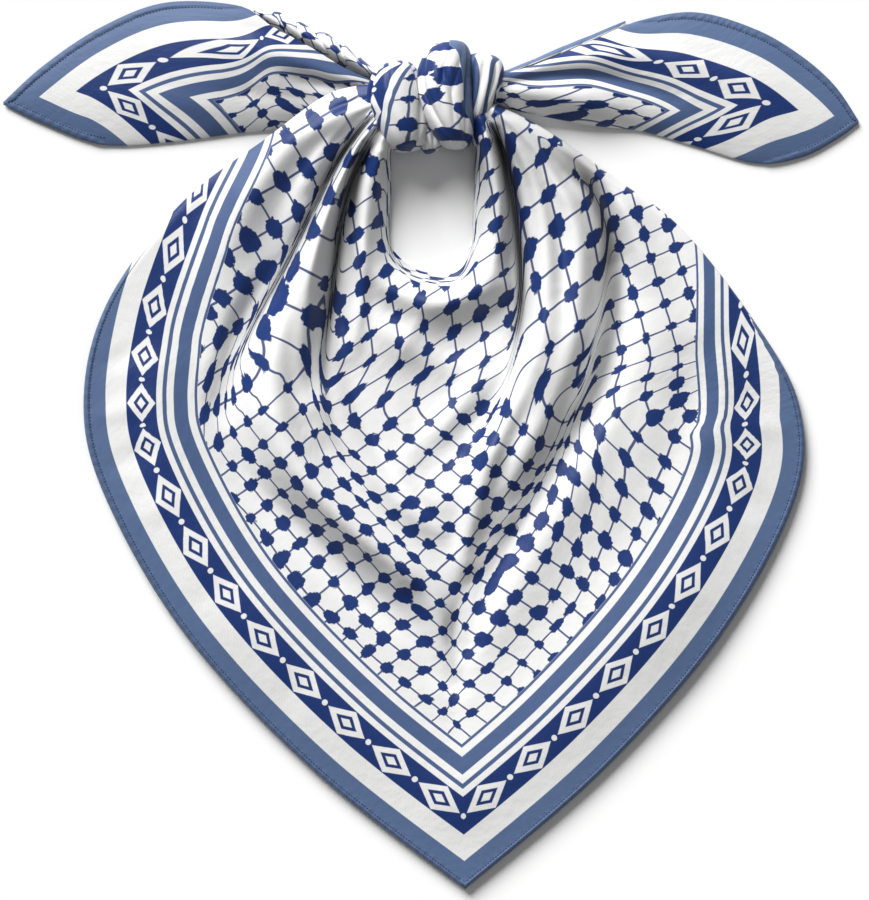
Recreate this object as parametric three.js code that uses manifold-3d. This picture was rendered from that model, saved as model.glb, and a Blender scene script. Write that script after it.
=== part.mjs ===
import * as THREE from 'three';
import Module from 'manifold-3d';
import { mergeVertices } from 'three/addons/utils/BufferGeometryUtils.js';

// A square bandana folded corner to corner, tied at the top and laid flat.
// Millimetres, +Z up, the surface it lies on at z = 0, the point towards -Y and the knot towards +Y.

const WALL = 1.5;
const SEAM_GAP = 0.3;
const BACK_LAYER = 1.2;
const FRONT_UNDERSIDE = BACK_LAYER + SEAM_GAP;
const FRONT_FLOOR = FRONT_UNDERSIDE + WALL;
const STEEPEST = 0.34;
const HEM = { width: 3.4, step: 0.5, raise: 0.6 };

const FRONT_GRID = { columnsPerStation: 3, rows: 25 };
// The rear layer starts and ends this share of the way round, short of the knot, inside the front's edge.
const BACK_GRID = { columns: 36, rows: 2, start: 0.13, behindEdge: 2.5 };
const TAIL_GRID = { columnsPerStation: 2, rows: 9 };
const ROLL_GRID = { columnsPerStation: 3, rows: 6 };
const LOBE_GRID = { rings: 14, sides: 20 };

const TAIL_EDGE_RADIUS = 6;
const TAIL_ARCH_POWER = 0.75;
const TAIL_HEM_MOST = 0.2;
const ROLL_CREST = { share: 0.8, power: 0.7 };
const NECK_ROLL_RADIUS = 8;
const GATHER_LIFT = { height: 13, reach: 42, x: 28, y: 175 };
const CROWN = 2.5;

// The body from the knot down to the point, one row for each station on each half.
// x, y: outline; neckX, neckY: neckline; edge, neckEdge: heights of the two borders;
// roll: radius of the outline's edge; hem: 1 where the hem shows; reach: rear layer past the neckline.
const BODY_LEFT = [
  { x: -29, y: 191, neckX: -19, neckY: 160, edge: 17, neckEdge: 9, roll: 7, hem: 0, reach: -3 },
  { x: -54, y: 186, neckX: -21, neckY: 154, edge: 13, neckEdge: 6, roll: 8, hem: 0, reach: -3 },
  { x: -87, y: 163, neckX: -21, neckY: 146, edge: 8, neckEdge: 3.5, roll: 9, hem: 0, reach: -3 },
  { x: -133, y: 128, neckX: -21, neckY: 135, edge: 3, neckEdge: 3, roll: 8, hem: 0, reach: -3 },
  { x: -172, y: 75, neckX: -22, neckY: 122, edge: 3, neckEdge: 3, roll: 5, hem: 1, reach: -2 },
  { x: -184, y: 22, neckX: -22, neckY: 110, edge: 3, neckEdge: 3, roll: 3, hem: 1, reach: -1 },
  { x: -172, y: -28, neckX: -20, neckY: 101, edge: 3, neckEdge: 3, roll: 3, hem: 1, reach: 2 },
  { x: -130, y: -100, neckX: -14, neckY: 94, edge: 3, neckEdge: 3, roll: 3, hem: 1, reach: 3 },
  { x: -62, y: -172, neckX: -6, neckY: 90, edge: 3, neckEdge: 3, roll: 3, hem: 1, reach: 3 },
  { x: 18, y: -234.5, neckX: 5, neckY: 88, edge: 3, neckEdge: 3, roll: 3, hem: 1, reach: 3 },
];
const BODY_RIGHT = [
  { x: 29, y: 183, neckX: 20, neckY: 165, edge: 13, neckEdge: 9, roll: 6, hem: 0, reach: -3 },
  { x: 60, y: 168, neckX: 23, neckY: 156, edge: 6, neckEdge: 6, roll: 8, hem: 0, reach: -3 },
  { x: 96, y: 143, neckX: 23, neckY: 146, edge: 3, neckEdge: 3.5, roll: 9, hem: 0, reach: -3 },
  { x: 132, y: 116, neckX: 23, neckY: 134, edge: 3, neckEdge: 3, roll: 8, hem: 0, reach: -3 },
  { x: 170, y: 68, neckX: 22, neckY: 122, edge: 3, neckEdge: 3, roll: 6, hem: 0, reach: -2 },
  { x: 195, y: 22, neckX: 22, neckY: 110, edge: 3, neckEdge: 3, roll: 3, hem: 1, reach: -1 },
  { x: 193, y: -28, neckX: 20, neckY: 101, edge: 3, neckEdge: 3, roll: 3, hem: 1, reach: 2 },
  { x: 154, y: -100, neckX: 17, neckY: 93, edge: 3, neckEdge: 3, roll: 3, hem: 1, reach: 3 },
  { x: 91, y: -172, neckX: 12, neckY: 89, edge: 3, neckEdge: 3, roll: 3, hem: 1, reach: 3 },
  { x: 18, y: -234.5, neckX: 5, neckY: 88, edge: 3, neckEdge: 3, roll: 3, hem: 1, reach: 3 },
];

// The largest folds: the line of each crest or valley, its height and its half width
// at the knot end, the middle and the far end. A valley has a height below zero.
const FOLDS = [
  { name: 'left shoulder roll', height: [3, 9, 2], spread: [5, 12, 16],
    line: [[-30, 179], [-54, 172], [-76, 157], [-98, 128], [-111, 93], [-116, 51]] },
  { name: 'left outer valley', height: [-3, -6, -2], spread: [3, 5, 6],
    line: [[-31, 173], [-43, 162], [-51, 149], [-62, 133]] },
  { name: 'left main fold', height: [3, 14, 3], spread: [4.5, 12, 6],
    line: [[-27, 171], [-42, 153], [-56, 123], [-70, 86], [-80, 51], [-80, 18], [-65, -14], [-40, -42],
      [-14, -63], [5, -86], [12, -116]] },
  { name: 'left inner valley', height: [-3, -7, -3], spread: [4, 7, 9],
    line: [[-38, 146], [-43, 125], [-46, 104], [-47, 67]] },
  { name: 'neck roll', height: [4, 7, 4], spread: [4.5, 8, 4.5],
    line: [[-23, 160], [-28, 141], [-32, 120], [-33, 102], [-24, 85], [-6, 77], [9, 77], [23, 86],
      [32, 101], [35, 120], [32, 141], [27, 160]] },
  { name: 'right inner valley', height: [-2, -6, -2], spread: [3.5, 7, 9],
    line: [[31, 173], [39, 146], [43, 120], [45, 83], [46, 62], [41, 35], [18, -2]] },
  { name: 'right main fold', height: [3, 15, 3], spread: [4.5, 10, 5],
    line: [[32, 171], [46, 156], [57, 131], [61, 99], [59, 67], [50, 35], [35, 4], [24, -28], [17, -57],
      [13, -87]] },
  { name: 'right outer valley', height: [-3, -6, -2], spread: [3.5, 5.5, 7],
    line: [[39, 178], [68, 146], [84, 131], [95, 99]] },
  { name: 'right shoulder roll', height: [3, 10, 2], spread: [5, 11, 15],
    line: [[38, 180], [60, 165], [83, 143], [104, 115], [119, 83], [128, 46]] },
  { name: 'right long valley', height: [-2, -6, -4], spread: [10, 9, 6],
    line: [[90, 93], [82, 56], [71, 25], [60, -2], [44, -26], [31, -44], [21, -65], [15, -92], [13, -124]] },
  { name: 'right plateau', height: [3, 6, 2], spread: [20, 22, 12],
    line: [[119, 56], [102, 14], [78, -26], [55, -60], [36, -94]] },
  { name: 'left crease', height: [-2, -5, -2], spread: [8, 7, 8],
    line: [[-69, 109], [-88, 83], [-101, 62], [-108, 40], [-112, 19]] },
  { name: 'upper swag', height: [3, 5, 3], spread: [8, 9, 8],
    line: [[-43, 62], [-24, 39], [0, 31], [25, 41], [38, 62]] },
  { name: 'lower swag', height: [4, 6, 4], spread: [8, 10, 8],
    line: [[-58, 27], [-38, -3], [-10, -20], [11, -17], [27, 3]] },
];

// Each tail from the knot to its tip: x, y: upper edge; lowX, lowY: lower edge;
// edge, lowEdge: heights of the two edges; crown: rise between them.
const TAIL_LEFT = [
  { x: -28, y: 192, lowX: -28, lowY: 180, edge: 12, lowEdge: 5, crown: 0.5 },
  { x: -46, y: 200, lowX: -46, lowY: 177, edge: 12, lowEdge: 3.5, crown: 0.5 },
  { x: -64, y: 211, lowX: -63, lowY: 172, edge: 11, lowEdge: 2, crown: 2 },
  { x: -84, y: 222, lowX: -81, lowY: 168, edge: 10, lowEdge: 1.6, crown: 6 },
  { x: -102, y: 233, lowX: -101, lowY: 166, edge: 7, lowEdge: 1.6, crown: 8 },
  { x: -141, y: 235, lowX: -140, lowY: 161, edge: 2, lowEdge: 1.6, crown: 6 },
  { x: -175, y: 222, lowX: -175, lowY: 160, edge: 1.6, lowEdge: 1.6, crown: 4 },
  { x: -205, y: 202, lowX: -206, lowY: 171, edge: 1.6, lowEdge: 1.6, crown: 2 },
  { x: -226.5, y: 182.5, lowX: -226.5, lowY: 181, edge: 1.6, lowEdge: 1.6, crown: 0 },
];
const TAIL_RIGHT = [
  { x: 33, y: 195, lowX: 31, lowY: 182, edge: 19, lowEdge: 12, crown: 3 },
  { x: 54, y: 201, lowX: 47, lowY: 177, edge: 14, lowEdge: 8, crown: 5 },
  { x: 84, y: 214, lowX: 84, lowY: 170, edge: 8, lowEdge: 4, crown: 7 },
  { x: 109, y: 225, lowX: 111, lowY: 167, edge: 3, lowEdge: 1.6, crown: 7 },
  { x: 140, y: 230, lowX: 140, lowY: 159, edge: 1.6, lowEdge: 1.6, crown: 6 },
  { x: 172, y: 221, lowX: 172, lowY: 150, edge: 1.6, lowEdge: 1.6, crown: 5 },
  { x: 196, y: 207, lowX: 196, lowY: 153, edge: 1.6, lowEdge: 1.6, crown: 3 },
  { x: 214, y: 191, lowX: 214, lowY: 162, edge: 1.6, lowEdge: 1.6, crown: 1.5 },
  { x: 226.5, y: 172.5, lowX: 226.5, lowY: 171, edge: 1.6, lowEdge: 1.6, crown: 0 },
];
const TAIL_LEFT_FOLDS = [
  { name: 'steel strand', height: [1, 3, 0.5], spread: [3, 6, 9],
    line: [[-28, 191], [-52, 196], [-80, 206], [-110, 212]] },
  { name: 'strand valley', height: [-1, -3, 0], spread: [2.5, 4, 6],
    line: [[-40, 189], [-58, 192], [-80, 196]] },
];
const TAIL_RIGHT_FOLDS = [
  { name: 'net lobe', height: [1, 4, 1], spread: [3, 8, 9],
    line: [[36, 186], [62, 184], [92, 180], [126, 172]] },
  { name: 'lobe valley', height: [-1, -4, -1], spread: [2.5, 4, 5],
    line: [[40, 191], [64, 195], [96, 194], [130, 184]] },
];

// The layers behind the tails: outer edge, edge hidden under the tail, and the crest between them.
const ROLL_LEFT = [
  { x: -94, y: 231, lowX: -93, lowY: 228, crest: 1.7, lowEdge: 1.6 },
  { x: -82, y: 229, lowX: -84, lowY: 221, crest: 5, lowEdge: 1.6 },
  { x: -69, y: 223, lowX: -71, lowY: 212, crest: 8, lowEdge: 1.6 },
  { x: -55, y: 217, lowX: -58, lowY: 204, crest: 11, lowEdge: 2 },
  { x: -43, y: 209, lowX: -45, lowY: 198, crest: 14, lowEdge: 4 },
  { x: -28, y: 198, lowX: -28, lowY: 192, crest: 17, lowEdge: 9 },
];
const ROLL_RIGHT = [
  { x: 103, y: 225.5, lowX: 103, lowY: 222, crest: 1.7, lowEdge: 1.6 },
  { x: 84, y: 217.5, lowX: 85, lowY: 211.5, crest: 4.5, lowEdge: 1.6 },
  { x: 68, y: 211, lowX: 70, lowY: 204.5, crest: 8, lowEdge: 3 },
  { x: 52, y: 204, lowX: 53, lowY: 198, crest: 11, lowEdge: 5 },
  { x: 34, y: 197, lowX: 34, lowY: 190, crest: 15, lowEdge: 9 },
];

// The lobes of the knot: centre line seen from above, its half widths and its heights.
const LOBES = {
  left: { line: [[-19, 203], [-17, 181], [-10, 156]], half: [13, 16, 12], middle: 15, rise: 21 },
  right: { line: [[8, 213], [6, 186], [13, 157]], half: [15, 17, 12], middle: 16, rise: 22 },
  strand: { line: [[23, 208], [28, 193], [25, 172]], half: [9, 11, 8], middle: 13, rise: 14 },
  under: { line: [[-5, 172], [-1, 163], [1, 155]], half: [6, 7, 6], middle: 11, rise: 12 },
};
const LOBE_SQUARENESS = { section: 2.4, plan: 2.8 };
const WRAP_OPEN_BELOW = 5;

const wasm = await Module();
wasm.setup();

function catmull(values, u) {
  const last = values.length - 1;
  const place = Math.min(Math.max(u, 0), 1) * last;
  const i = Math.min(Math.floor(place), last - 1);
  const f = place - i;
  const before = values[Math.max(i - 1, 0)];
  const start = values[i];
  const end = values[i + 1];
  const after = values[Math.min(i + 2, last)];
  const leave = (end - before) / 2;
  const arrive = (after - start) / 2;
  const cubic = 2 * start - 2 * end + leave + arrive;
  const square = -3 * start + 3 * end - 2 * leave - arrive;
  return ((cubic * f + square) * f + leave) * f + start;
}

function linear(values, u) {
  const place = Math.min(Math.max(u, 0), 1) * (values.length - 1);
  const i = Math.min(Math.floor(place), values.length - 2);
  return values[i] + (values[i + 1] - values[i]) * (place - i);
}

function column(table, name) {
  return table.map((row) => row[name]);
}

function mix(a, b, f) {
  return a + (b - a) * f;
}

// A quarter round: 0 at the border, 1 one radius inside it.
function quarterRound(distance, radius) {
  const inside = Math.min(Math.max(distance / radius, 0), 1);
  return Math.sqrt(1 - (1 - inside) ** 2);
}

function softFloor(value, floor) {
  const softness = 0.8;
  return floor + softness * Math.log1p(Math.exp((value - floor) / softness));
}

// The folds' lines as short straight steps, each with its share of the length.
function prepareFolds(folds) {
  const steps = 40;
  return folds.map((fold) => {
    const xs = fold.line.map((point) => point[0]);
    const ys = fold.line.map((point) => point[1]);
    const pointAt = (_, i) => [catmull(xs, i / steps), catmull(ys, i / steps)];
    const points = Array.from({ length: steps + 1 }, pointAt);
    const shares = [0];
    for (let i = 0; i < steps; i += 1) {
      const length = Math.hypot(points[i + 1][0] - points[i][0], points[i + 1][1] - points[i][1]);
      shares.push(shares[i] + length);
    }
    return { ...fold, points, shares: shares.map((share) => share / shares[steps]) };
  });
}

function foldHeight(fold, x, y) {
  let nearest = Infinity;
  let share = 0;
  for (let i = 0; i < fold.points.length - 1; i += 1) {
    const [ax, ay] = fold.points[i];
    const [bx, by] = fold.points[i + 1];
    const along = ((x - ax) * (bx - ax) + (y - ay) * (by - ay)) / ((bx - ax) ** 2 + (by - ay) ** 2);
    const f = Math.min(Math.max(along, 0), 1);
    const distance = Math.hypot(x - mix(ax, bx, f), y - mix(ay, by, f));
    if (distance < nearest) {
      nearest = distance;
      share = mix(fold.shares[i], fold.shares[i + 1], f);
    }
  }
  return linear(fold.height, share) * Math.exp(-((nearest / linear(fold.spread, share)) ** 2));
}

function foldsAt(folds, x, y) {
  return folds.reduce((sum, fold) => sum + foldHeight(fold, x, y), 0);
}

function signedVolume(positions, indices) {
  let volume = 0;
  const corners = [new THREE.Vector3(), new THREE.Vector3(), new THREE.Vector3()];
  for (let i = 0; i < indices.length; i += 3) {
    corners.forEach((corner, k) => corner.fromArray(positions, indices[i + k] * 3));
    volume += corners[0].dot(corners[1].clone().cross(corners[2])) / 6;
  }
  return volume;
}

function closedGeometry(positions, indices) {
  const outward = signedVolume(positions, indices) > 0;
  const ordered = outward ? indices : indices.slice().reverse();
  const geometry = new THREE.BufferGeometry();
  geometry.setAttribute('position', new THREE.Float32BufferAttribute(positions, 3));
  geometry.setIndex(ordered);
  return geometry;
}

// A cloth wall: the upper face from place(i, j) = { x, y, top }, and an underside one wall below it,
// measured square to the slope, never lower than the given floor.
function clothWall(columns, rows, place, underFloor) {
  const grid = [];
  for (let i = 0; i <= columns; i += 1) {
    grid.push(Array.from({ length: rows + 1 }, (_, j) => place(i, j)));
  }
  const uppers = [];
  const unders = [];
  for (let i = 0; i <= columns; i += 1) {
    for (let j = 0; j <= rows; j += 1) {
      const here = grid[i][j];
      const a = grid[Math.max(i - 1, 0)][j];
      const b = grid[Math.min(i + 1, columns)][j];
      const c = grid[i][Math.max(j - 1, 0)];
      const d = grid[i][Math.min(j + 1, rows)];
      const acrossStep = new THREE.Vector3(b.x - a.x, b.y - a.y, b.top - a.top);
      const downStep = new THREE.Vector3(d.x - c.x, d.y - c.y, d.top - c.top);
      const normal = acrossStep.cross(downStep).normalize();
      const depth = WALL / Math.max(Math.abs(normal.z), STEEPEST);
      uppers.push(here.x, here.y, here.top);
      unders.push(here.x, here.y, Math.max(here.top - depth, underFloor));
    }
  }
  const stride = rows + 1;
  const under = (columns + 1) * stride;
  const indices = [];
  const quad = (p, q, r, s) => indices.push(p, q, r, p, r, s);
  // Each cell is split along the diagonal that runs more level, so that its edge follows the fold.
  const heightStep = (p, q) => Math.abs(uppers[p * 3 + 2] - uppers[q * 3 + 2]);
  for (let i = 0; i < columns; i += 1) {
    for (let j = 0; j < rows; j += 1) {
      const p = i * stride + j;
      const corners = [p, p + stride, p + stride + 1, p + 1];
      const [a, b, c, d] = corners;
      const cell = heightStep(a, c) <= heightStep(b, d) ? corners : [b, c, d, a];
      quad(...cell);
      quad(...cell.map((corner) => under + corner).reverse());
    }
    const first = i * stride;
    const last = first + rows;
    quad(first, under + first, under + first + stride, first + stride);
    quad(last, last + stride, under + last + stride, under + last);
  }
  for (let j = 0; j < rows; j += 1) {
    const far = columns * stride + j;
    quad(j, j + 1, under + j + 1, under + j);
    quad(far, under + far, under + far + 1, far + 1);
  }
  return closedGeometry(uppers.concat(unders), indices);
}

// One column of the body at s, from 0 at the left side of the knot to 1 at the right side.
function bodyColumn(s) {
  const table = s <= 0.5 ? BODY_LEFT : BODY_RIGHT;
  const u = s <= 0.5 ? s * 2 : (1 - s) * 2;
  const values = {};
  ['x', 'y', 'neckX', 'neckY'].forEach((name) => {
    values[name] = catmull(column(table, name), u);
  });
  ['edge', 'neckEdge', 'roll', 'hem', 'reach'].forEach((name) => {
    values[name] = linear(column(table, name), u);
  });
  values.length = Math.hypot(values.x - values.neckX, values.y - values.neckY);
  return values;
}

const bodyFolds = prepareFolds(FOLDS);

function bodyTop(station, x, y, t) {
  const lift = [-1, 1].reduce((sum, side) => {
    const distance = Math.hypot(x - side * GATHER_LIFT.x, y - GATHER_LIFT.y);
    return sum + GATHER_LIFT.height * Math.exp(-((distance / GATHER_LIFT.reach) ** 2));
  }, 0);
  const field = softFloor(FRONT_FLOOR + CROWN + lift + foldsAt(bodyFolds, x, y), FRONT_FLOOR);
  const border = mix(station.neckEdge, station.edge, t);
  const outer = quarterRound((1 - t) * station.length, station.roll);
  const inner = quarterRound(t * station.length, NECK_ROLL_RADIUS);
  return Math.max(border + (field - border) * outer * inner, FRONT_FLOOR);
}

function frontPanel() {
  const columns = 2 * (BODY_LEFT.length - 1) * FRONT_GRID.columnsPerStation;
  const { rows } = FRONT_GRID;
  const place = (i, j) => {
    const station = bodyColumn(i / columns);
    const hemShare = HEM.width / station.length;
    const stepShare = (HEM.width + HEM.step) / station.length;
    let t = (j / rows) * (1 - stepShare);
    if (j === rows + 1) t = 1 - hemShare;
    if (j === rows + 2) t = 1;
    const x = mix(station.neckX, station.x, t);
    const y = mix(station.neckY, station.y, t);
    const raise = j > rows ? HEM.raise * Math.round(station.hem) : 0;
    return { x, y, top: bodyTop(station, x, y, t) + raise };
  };
  return clothWall(columns, rows + 2, place, FRONT_UNDERSIDE);
}

function backPanel() {
  const { columns, rows, start, behindEdge } = BACK_GRID;
  const place = (i, j) => {
    const station = bodyColumn(mix(start, 1 - start, i / columns));
    const neckShare = -station.reach / station.length;
    const t = mix(neckShare, 1 - behindEdge / station.length, j / rows);
    return { x: mix(station.neckX, station.x, t), y: mix(station.neckY, station.y, t), top: BACK_LAYER };
  };
  return clothWall(columns, rows, place, 0);
}

// The rows across a tail: one hem, the cloth between the hems, and the other hem.
function tailRow(j, rows, hemShare) {
  if (j === 0) return 0;
  if (j === rows) return 1;
  return mix(hemShare, 1 - hemShare, (j - 1) / (rows - 2));
}

function tail(table, folds) {
  const prepared = prepareFolds(folds);
  const columns = (table.length - 1) * TAIL_GRID.columnsPerStation;
  const { rows } = TAIL_GRID;
  const place = (i, j) => {
    const u = i / columns;
    const [x0, y0, x1, y1] = ['x', 'y', 'lowX', 'lowY'].map((name) => catmull(column(table, name), u));
    const [edge, lowEdge, crown] = ['edge', 'lowEdge', 'crown'].map((name) => linear(column(table, name), u));
    const width = Math.hypot(x1 - x0, y1 - y0);
    const hemShare = Math.min(HEM.width / width, TAIL_HEM_MOST);
    const v = tailRow(j, rows, hemShare);
    const x = mix(x0, x1, v);
    const y = mix(y0, y1, v);
    const arch = crown * (4 * v * (1 - v)) ** TAIL_ARCH_POWER;
    const window = quarterRound(v * width, TAIL_EDGE_RADIUS) * quarterRound((1 - v) * width, TAIL_EDGE_RADIUS);
    const top = mix(edge, lowEdge, v) + arch + foldsAt(prepared, x, y) * window;
    return { x, y, top: Math.max(top, WALL) };
  };
  return clothWall(columns, rows, place, 0);
}

function tailRoll(table) {
  const columns = (table.length - 1) * ROLL_GRID.columnsPerStation;
  const { rows } = ROLL_GRID;
  const place = (i, j) => {
    const u = i / columns;
    const v = j / rows;
    const [x0, y0, x1, y1] = ['x', 'y', 'lowX', 'lowY'].map((name) => catmull(column(table, name), u));
    const [crest, lowEdge] = ['crest', 'lowEdge'].map((name) => linear(column(table, name), u));
    const rise = Math.sin(Math.PI * Math.min(v / ROLL_CREST.share, 1)) ** ROLL_CREST.power;
    const border = mix(WALL, lowEdge, v);
    const top = mix(border, crest, rise);
    return { x: mix(x0, x1, v), y: mix(y0, y1, v), top: Math.max(top, WALL) };
  };
  return clothWall(columns, rows, place, 0);
}

// One lobe of the knot as a closed, rounded form, made larger or smaller all round by grow.
function lobe(spec, grow) {
  const { rings, sides } = LOBE_GRID;
  const xs = spec.line.map((point) => point[0]);
  const ys = spec.line.map((point) => point[1]);
  const runX = xs[2] - xs[0];
  const runY = ys[2] - ys[0];
  const run = Math.hypot(runX, runY);
  const stretch = grow / run;
  const power = 2 / LOBE_SQUARENESS.section;
  const squared = (value) => Math.sign(value) * Math.abs(value) ** power;
  const positions = [];
  const section = (u, angle, size) => {
    const along = mix(-stretch, 1 + stretch, u);
    const past = along - Math.min(Math.max(along, 0), 1);
    const side = squared(Math.cos(angle)) * (linear(spec.half, along) + grow) * size;
    const up = squared(Math.sin(angle)) * (spec.rise + grow) * size;
    const x = catmull(xs, along) + past * runX - (runY / run) * side;
    const y = catmull(ys, along) + past * runY + (runX / run) * side;
    return [x, y, spec.middle + up];
  };
  positions.push(...section(0, 0, 0));
  for (let i = 1; i < rings; i += 1) {
    const u = (1 - Math.cos((Math.PI * i) / rings)) / 2;
    const size = (1 - Math.abs(2 * u - 1) ** LOBE_SQUARENESS.plan) ** (1 / LOBE_SQUARENESS.plan);
    for (let k = 0; k < sides; k += 1) positions.push(...section(u, (2 * Math.PI * k) / sides, size));
  }
  positions.push(...section(1, 0, 0));
  const last = positions.length / 3 - 1;
  const indices = [];
  for (let k = 0; k < sides; k += 1) {
    const next = (k + 1) % sides;
    const end = 1 + (rings - 2) * sides;
    indices.push(0, 1 + next, 1 + k);
    indices.push(last, end + k, end + next);
    for (let i = 0; i < rings - 2; i += 1) {
      const ring = 1 + i * sides;
      const after = ring + sides;
      indices.push(ring + k, ring + next, after + next, ring + k, after + next, after + k);
    }
  }
  return closedGeometry(positions, indices);
}

function toSolid(geometry) {
  const merged = mergeVertices(geometry, 1e-5);
  const vertProperties = new Float32Array(merged.attributes.position.array);
  const triVerts = new Uint32Array(merged.index.array);
  return new wasm.Manifold(new wasm.Mesh({ numProp: 3, vertProperties, triVerts }));
}

function toGeometry(solid) {
  const mesh = solid.getMesh();
  const geometry = new THREE.BufferGeometry();
  geometry.setAttribute('position', new THREE.BufferAttribute(new Float32Array(mesh.vertProperties), 3));
  geometry.setIndex(new THREE.BufferAttribute(new Uint32Array(mesh.triVerts), 1));
  return geometry;
}

// Everything under the given height, as a block wider than the knot.
function blockBelow(height) {
  const size = 200;
  const block = new THREE.BoxGeometry(size, size, size);
  block.translate(0, LOBES.left.line[1][1], height - size / 2);
  block.deleteAttribute('normal');
  block.deleteAttribute('uv');
  return toSolid(block);
}

function lobeSolid(name, grow) {
  return toSolid(lobe(LOBES[name], grow)).subtract(blockBelow(0));
}

function wrapShell(name) {
  return lobeSolid(name, 0).subtract(lobeSolid(name, -WALL)).subtract(blockBelow(WRAP_OPEN_BELOW));
}

const clearLeft = lobeSolid('left', SEAM_GAP);
const clearRight = lobeSolid('right', SEAM_GAP);
const clearStrand = lobeSolid('strand', SEAM_GAP);
const clearUnder = lobeSolid('under', SEAM_GAP);

const rightWrap = wrapShell('right');
const leftWrap = wrapShell('left').subtract(clearRight);

function knotCore() {
  const inset = -(WALL + SEAM_GAP);
  const innerRight = lobeSolid('right', inset);
  const rightShellRoom = clearRight.subtract(innerRight).subtract(blockBelow(WRAP_OPEN_BELOW - SEAM_GAP));
  return lobeSolid('left', inset).add(innerRight).subtract(rightShellRoom);
}

const strand = lobeSolid('strand', 0).subtract(clearRight).subtract(clearLeft);
const underFold = lobeSolid('under', 0).subtract(clearRight).subtract(clearLeft);

function clearOfKnot(geometry) {
  const knot = [clearLeft, clearRight, clearStrand, clearUnder];
  return toGeometry(knot.reduce((solid, piece) => solid.subtract(piece), toSolid(geometry)));
}

const COLOURS = { white: 0xe9e8e4, navy: 0x23438c, steel: 0x6d88b4 };

function clothMaterial(colour) {
  return new THREE.MeshStandardMaterial({ color: colour, roughness: 0.62, metalness: 0 });
}

const bandana = new THREE.Group();

function addPiece(name, geometry, colour) {
  const mesh = new THREE.Mesh(geometry, clothMaterial(colour));
  mesh.name = name;
  bandana.add(mesh);
}

addPiece('back_panel', backPanel(), COLOURS.white);
addPiece('front_panel', clearOfKnot(frontPanel()), COLOURS.white);
addPiece('tail_left', clearOfKnot(tail(TAIL_LEFT, TAIL_LEFT_FOLDS)), COLOURS.navy);
addPiece('tail_left_roll', clearOfKnot(tailRoll(ROLL_LEFT)), COLOURS.white);
addPiece('tail_right', clearOfKnot(tail(TAIL_RIGHT, TAIL_RIGHT_FOLDS)), COLOURS.navy);
addPiece('tail_right_roll', clearOfKnot(tailRoll(ROLL_RIGHT)), COLOURS.white);
addPiece('knot_left_wrap', toGeometry(leftWrap), COLOURS.white);
addPiece('knot_right_wrap', toGeometry(rightWrap), COLOURS.white);
addPiece('knot_back_strand', toGeometry(strand), COLOURS.steel);
addPiece('knot_under_fold', toGeometry(underFold), COLOURS.white);
addPiece('knot_core', toGeometry(knotCore()), COLOURS.white);

export default bandana;
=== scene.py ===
import math
import random

import bmesh
import bpy
import numpy as np
from mathutils import Matrix, Vector


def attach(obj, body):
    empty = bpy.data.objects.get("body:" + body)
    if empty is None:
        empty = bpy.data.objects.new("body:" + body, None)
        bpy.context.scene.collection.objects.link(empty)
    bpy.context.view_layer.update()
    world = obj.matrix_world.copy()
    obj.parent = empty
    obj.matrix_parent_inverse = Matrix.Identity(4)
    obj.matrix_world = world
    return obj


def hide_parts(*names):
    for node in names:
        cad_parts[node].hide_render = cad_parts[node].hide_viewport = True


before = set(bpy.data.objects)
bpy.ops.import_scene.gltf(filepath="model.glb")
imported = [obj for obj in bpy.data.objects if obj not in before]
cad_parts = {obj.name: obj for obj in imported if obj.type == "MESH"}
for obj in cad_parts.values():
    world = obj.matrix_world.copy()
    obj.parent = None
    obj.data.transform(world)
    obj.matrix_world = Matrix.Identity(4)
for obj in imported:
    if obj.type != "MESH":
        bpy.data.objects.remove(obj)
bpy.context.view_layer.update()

# A square bandana folded corner to corner, tied at the top and laid flat, seen from straight above.
# Sizes are in millimetres until a mesh is made. The point is towards -Y and the knot towards +Y.

MM = 0.001
TINY = 1e-3
CURVE_STEPS = 36
random.seed(11)

# Cloth and hem
CLOTH = 0.7
WALL = 1.5
BACK_LAYER = 1.2
FRONT_FLOOR = BACK_LAYER + 0.3 + WALL
HEM_WIDTH = 3.4
HEM_RAISE = 0.6
SQUARE = 550.0
NO_HEM = 500.0

# The whole form
NECK_ROLL_RADIUS = 8.0
NECK_TURN = {"width": 4.6, "cloth": 22.0}
GATHER_LIFT = {"height": 13.0, "reach": 42.0, "x": 28.0, "y": 175.0}
CROWN = 2.5
TAIL_EDGE_RADIUS = 6.0
TAIL_ARCH_POWER = 0.75
LOBE_SECTION, LOBE_PLAN = 2.15, 2.5

# The printed border, in millimetres from the hem to the inner end of each band. HEARTS: the navy ring inside
# a lozenge, as shares of its size. POINT_RUN brings one dot onto the middle of the point.
STEEL_HEM, WHITE_BAND, NAVY_BAND = 12.0, 23.0, 39.0
THIN_STEEL = (42.2, 44.4)
WIDE_STEEL = (48.1, 55.5)
LAST_STEEL = (59.2, 60.7)
BORDER = 60.7
LOZENGE = {"pitch": 33.0, "start": 2.0, "long": 13.8, "wide": 7.5, "middle": 31.0, "dot": 1.6}
HEARTS = (0.30, 0.56)
POINT_RUN = 7.1

# The net in the order of its names: a cell near the border, its growth for each millimetre inwards and the
# smallest cell, half a line's width, a knot's radius as a share of the cell, and how much that share varies,
# how ragged the knots are, how much longer one way, and how far the lines sway.
NET_CELL = {"near": 11.8, "growth": 0.013, "least": 4.0, "line": 0.50, "knot": 0.28,
            "vary": 0.44, "ragged": 0.26, "squash": 1.1, "sway": 0.10}
# The middle of the body, as a share of the way round it, where the print isn't drawn together, and the least
# that it is drawn together elsewhere
MIDDLE_CALM = 0.07
MOST_OPEN = 0.3
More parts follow.
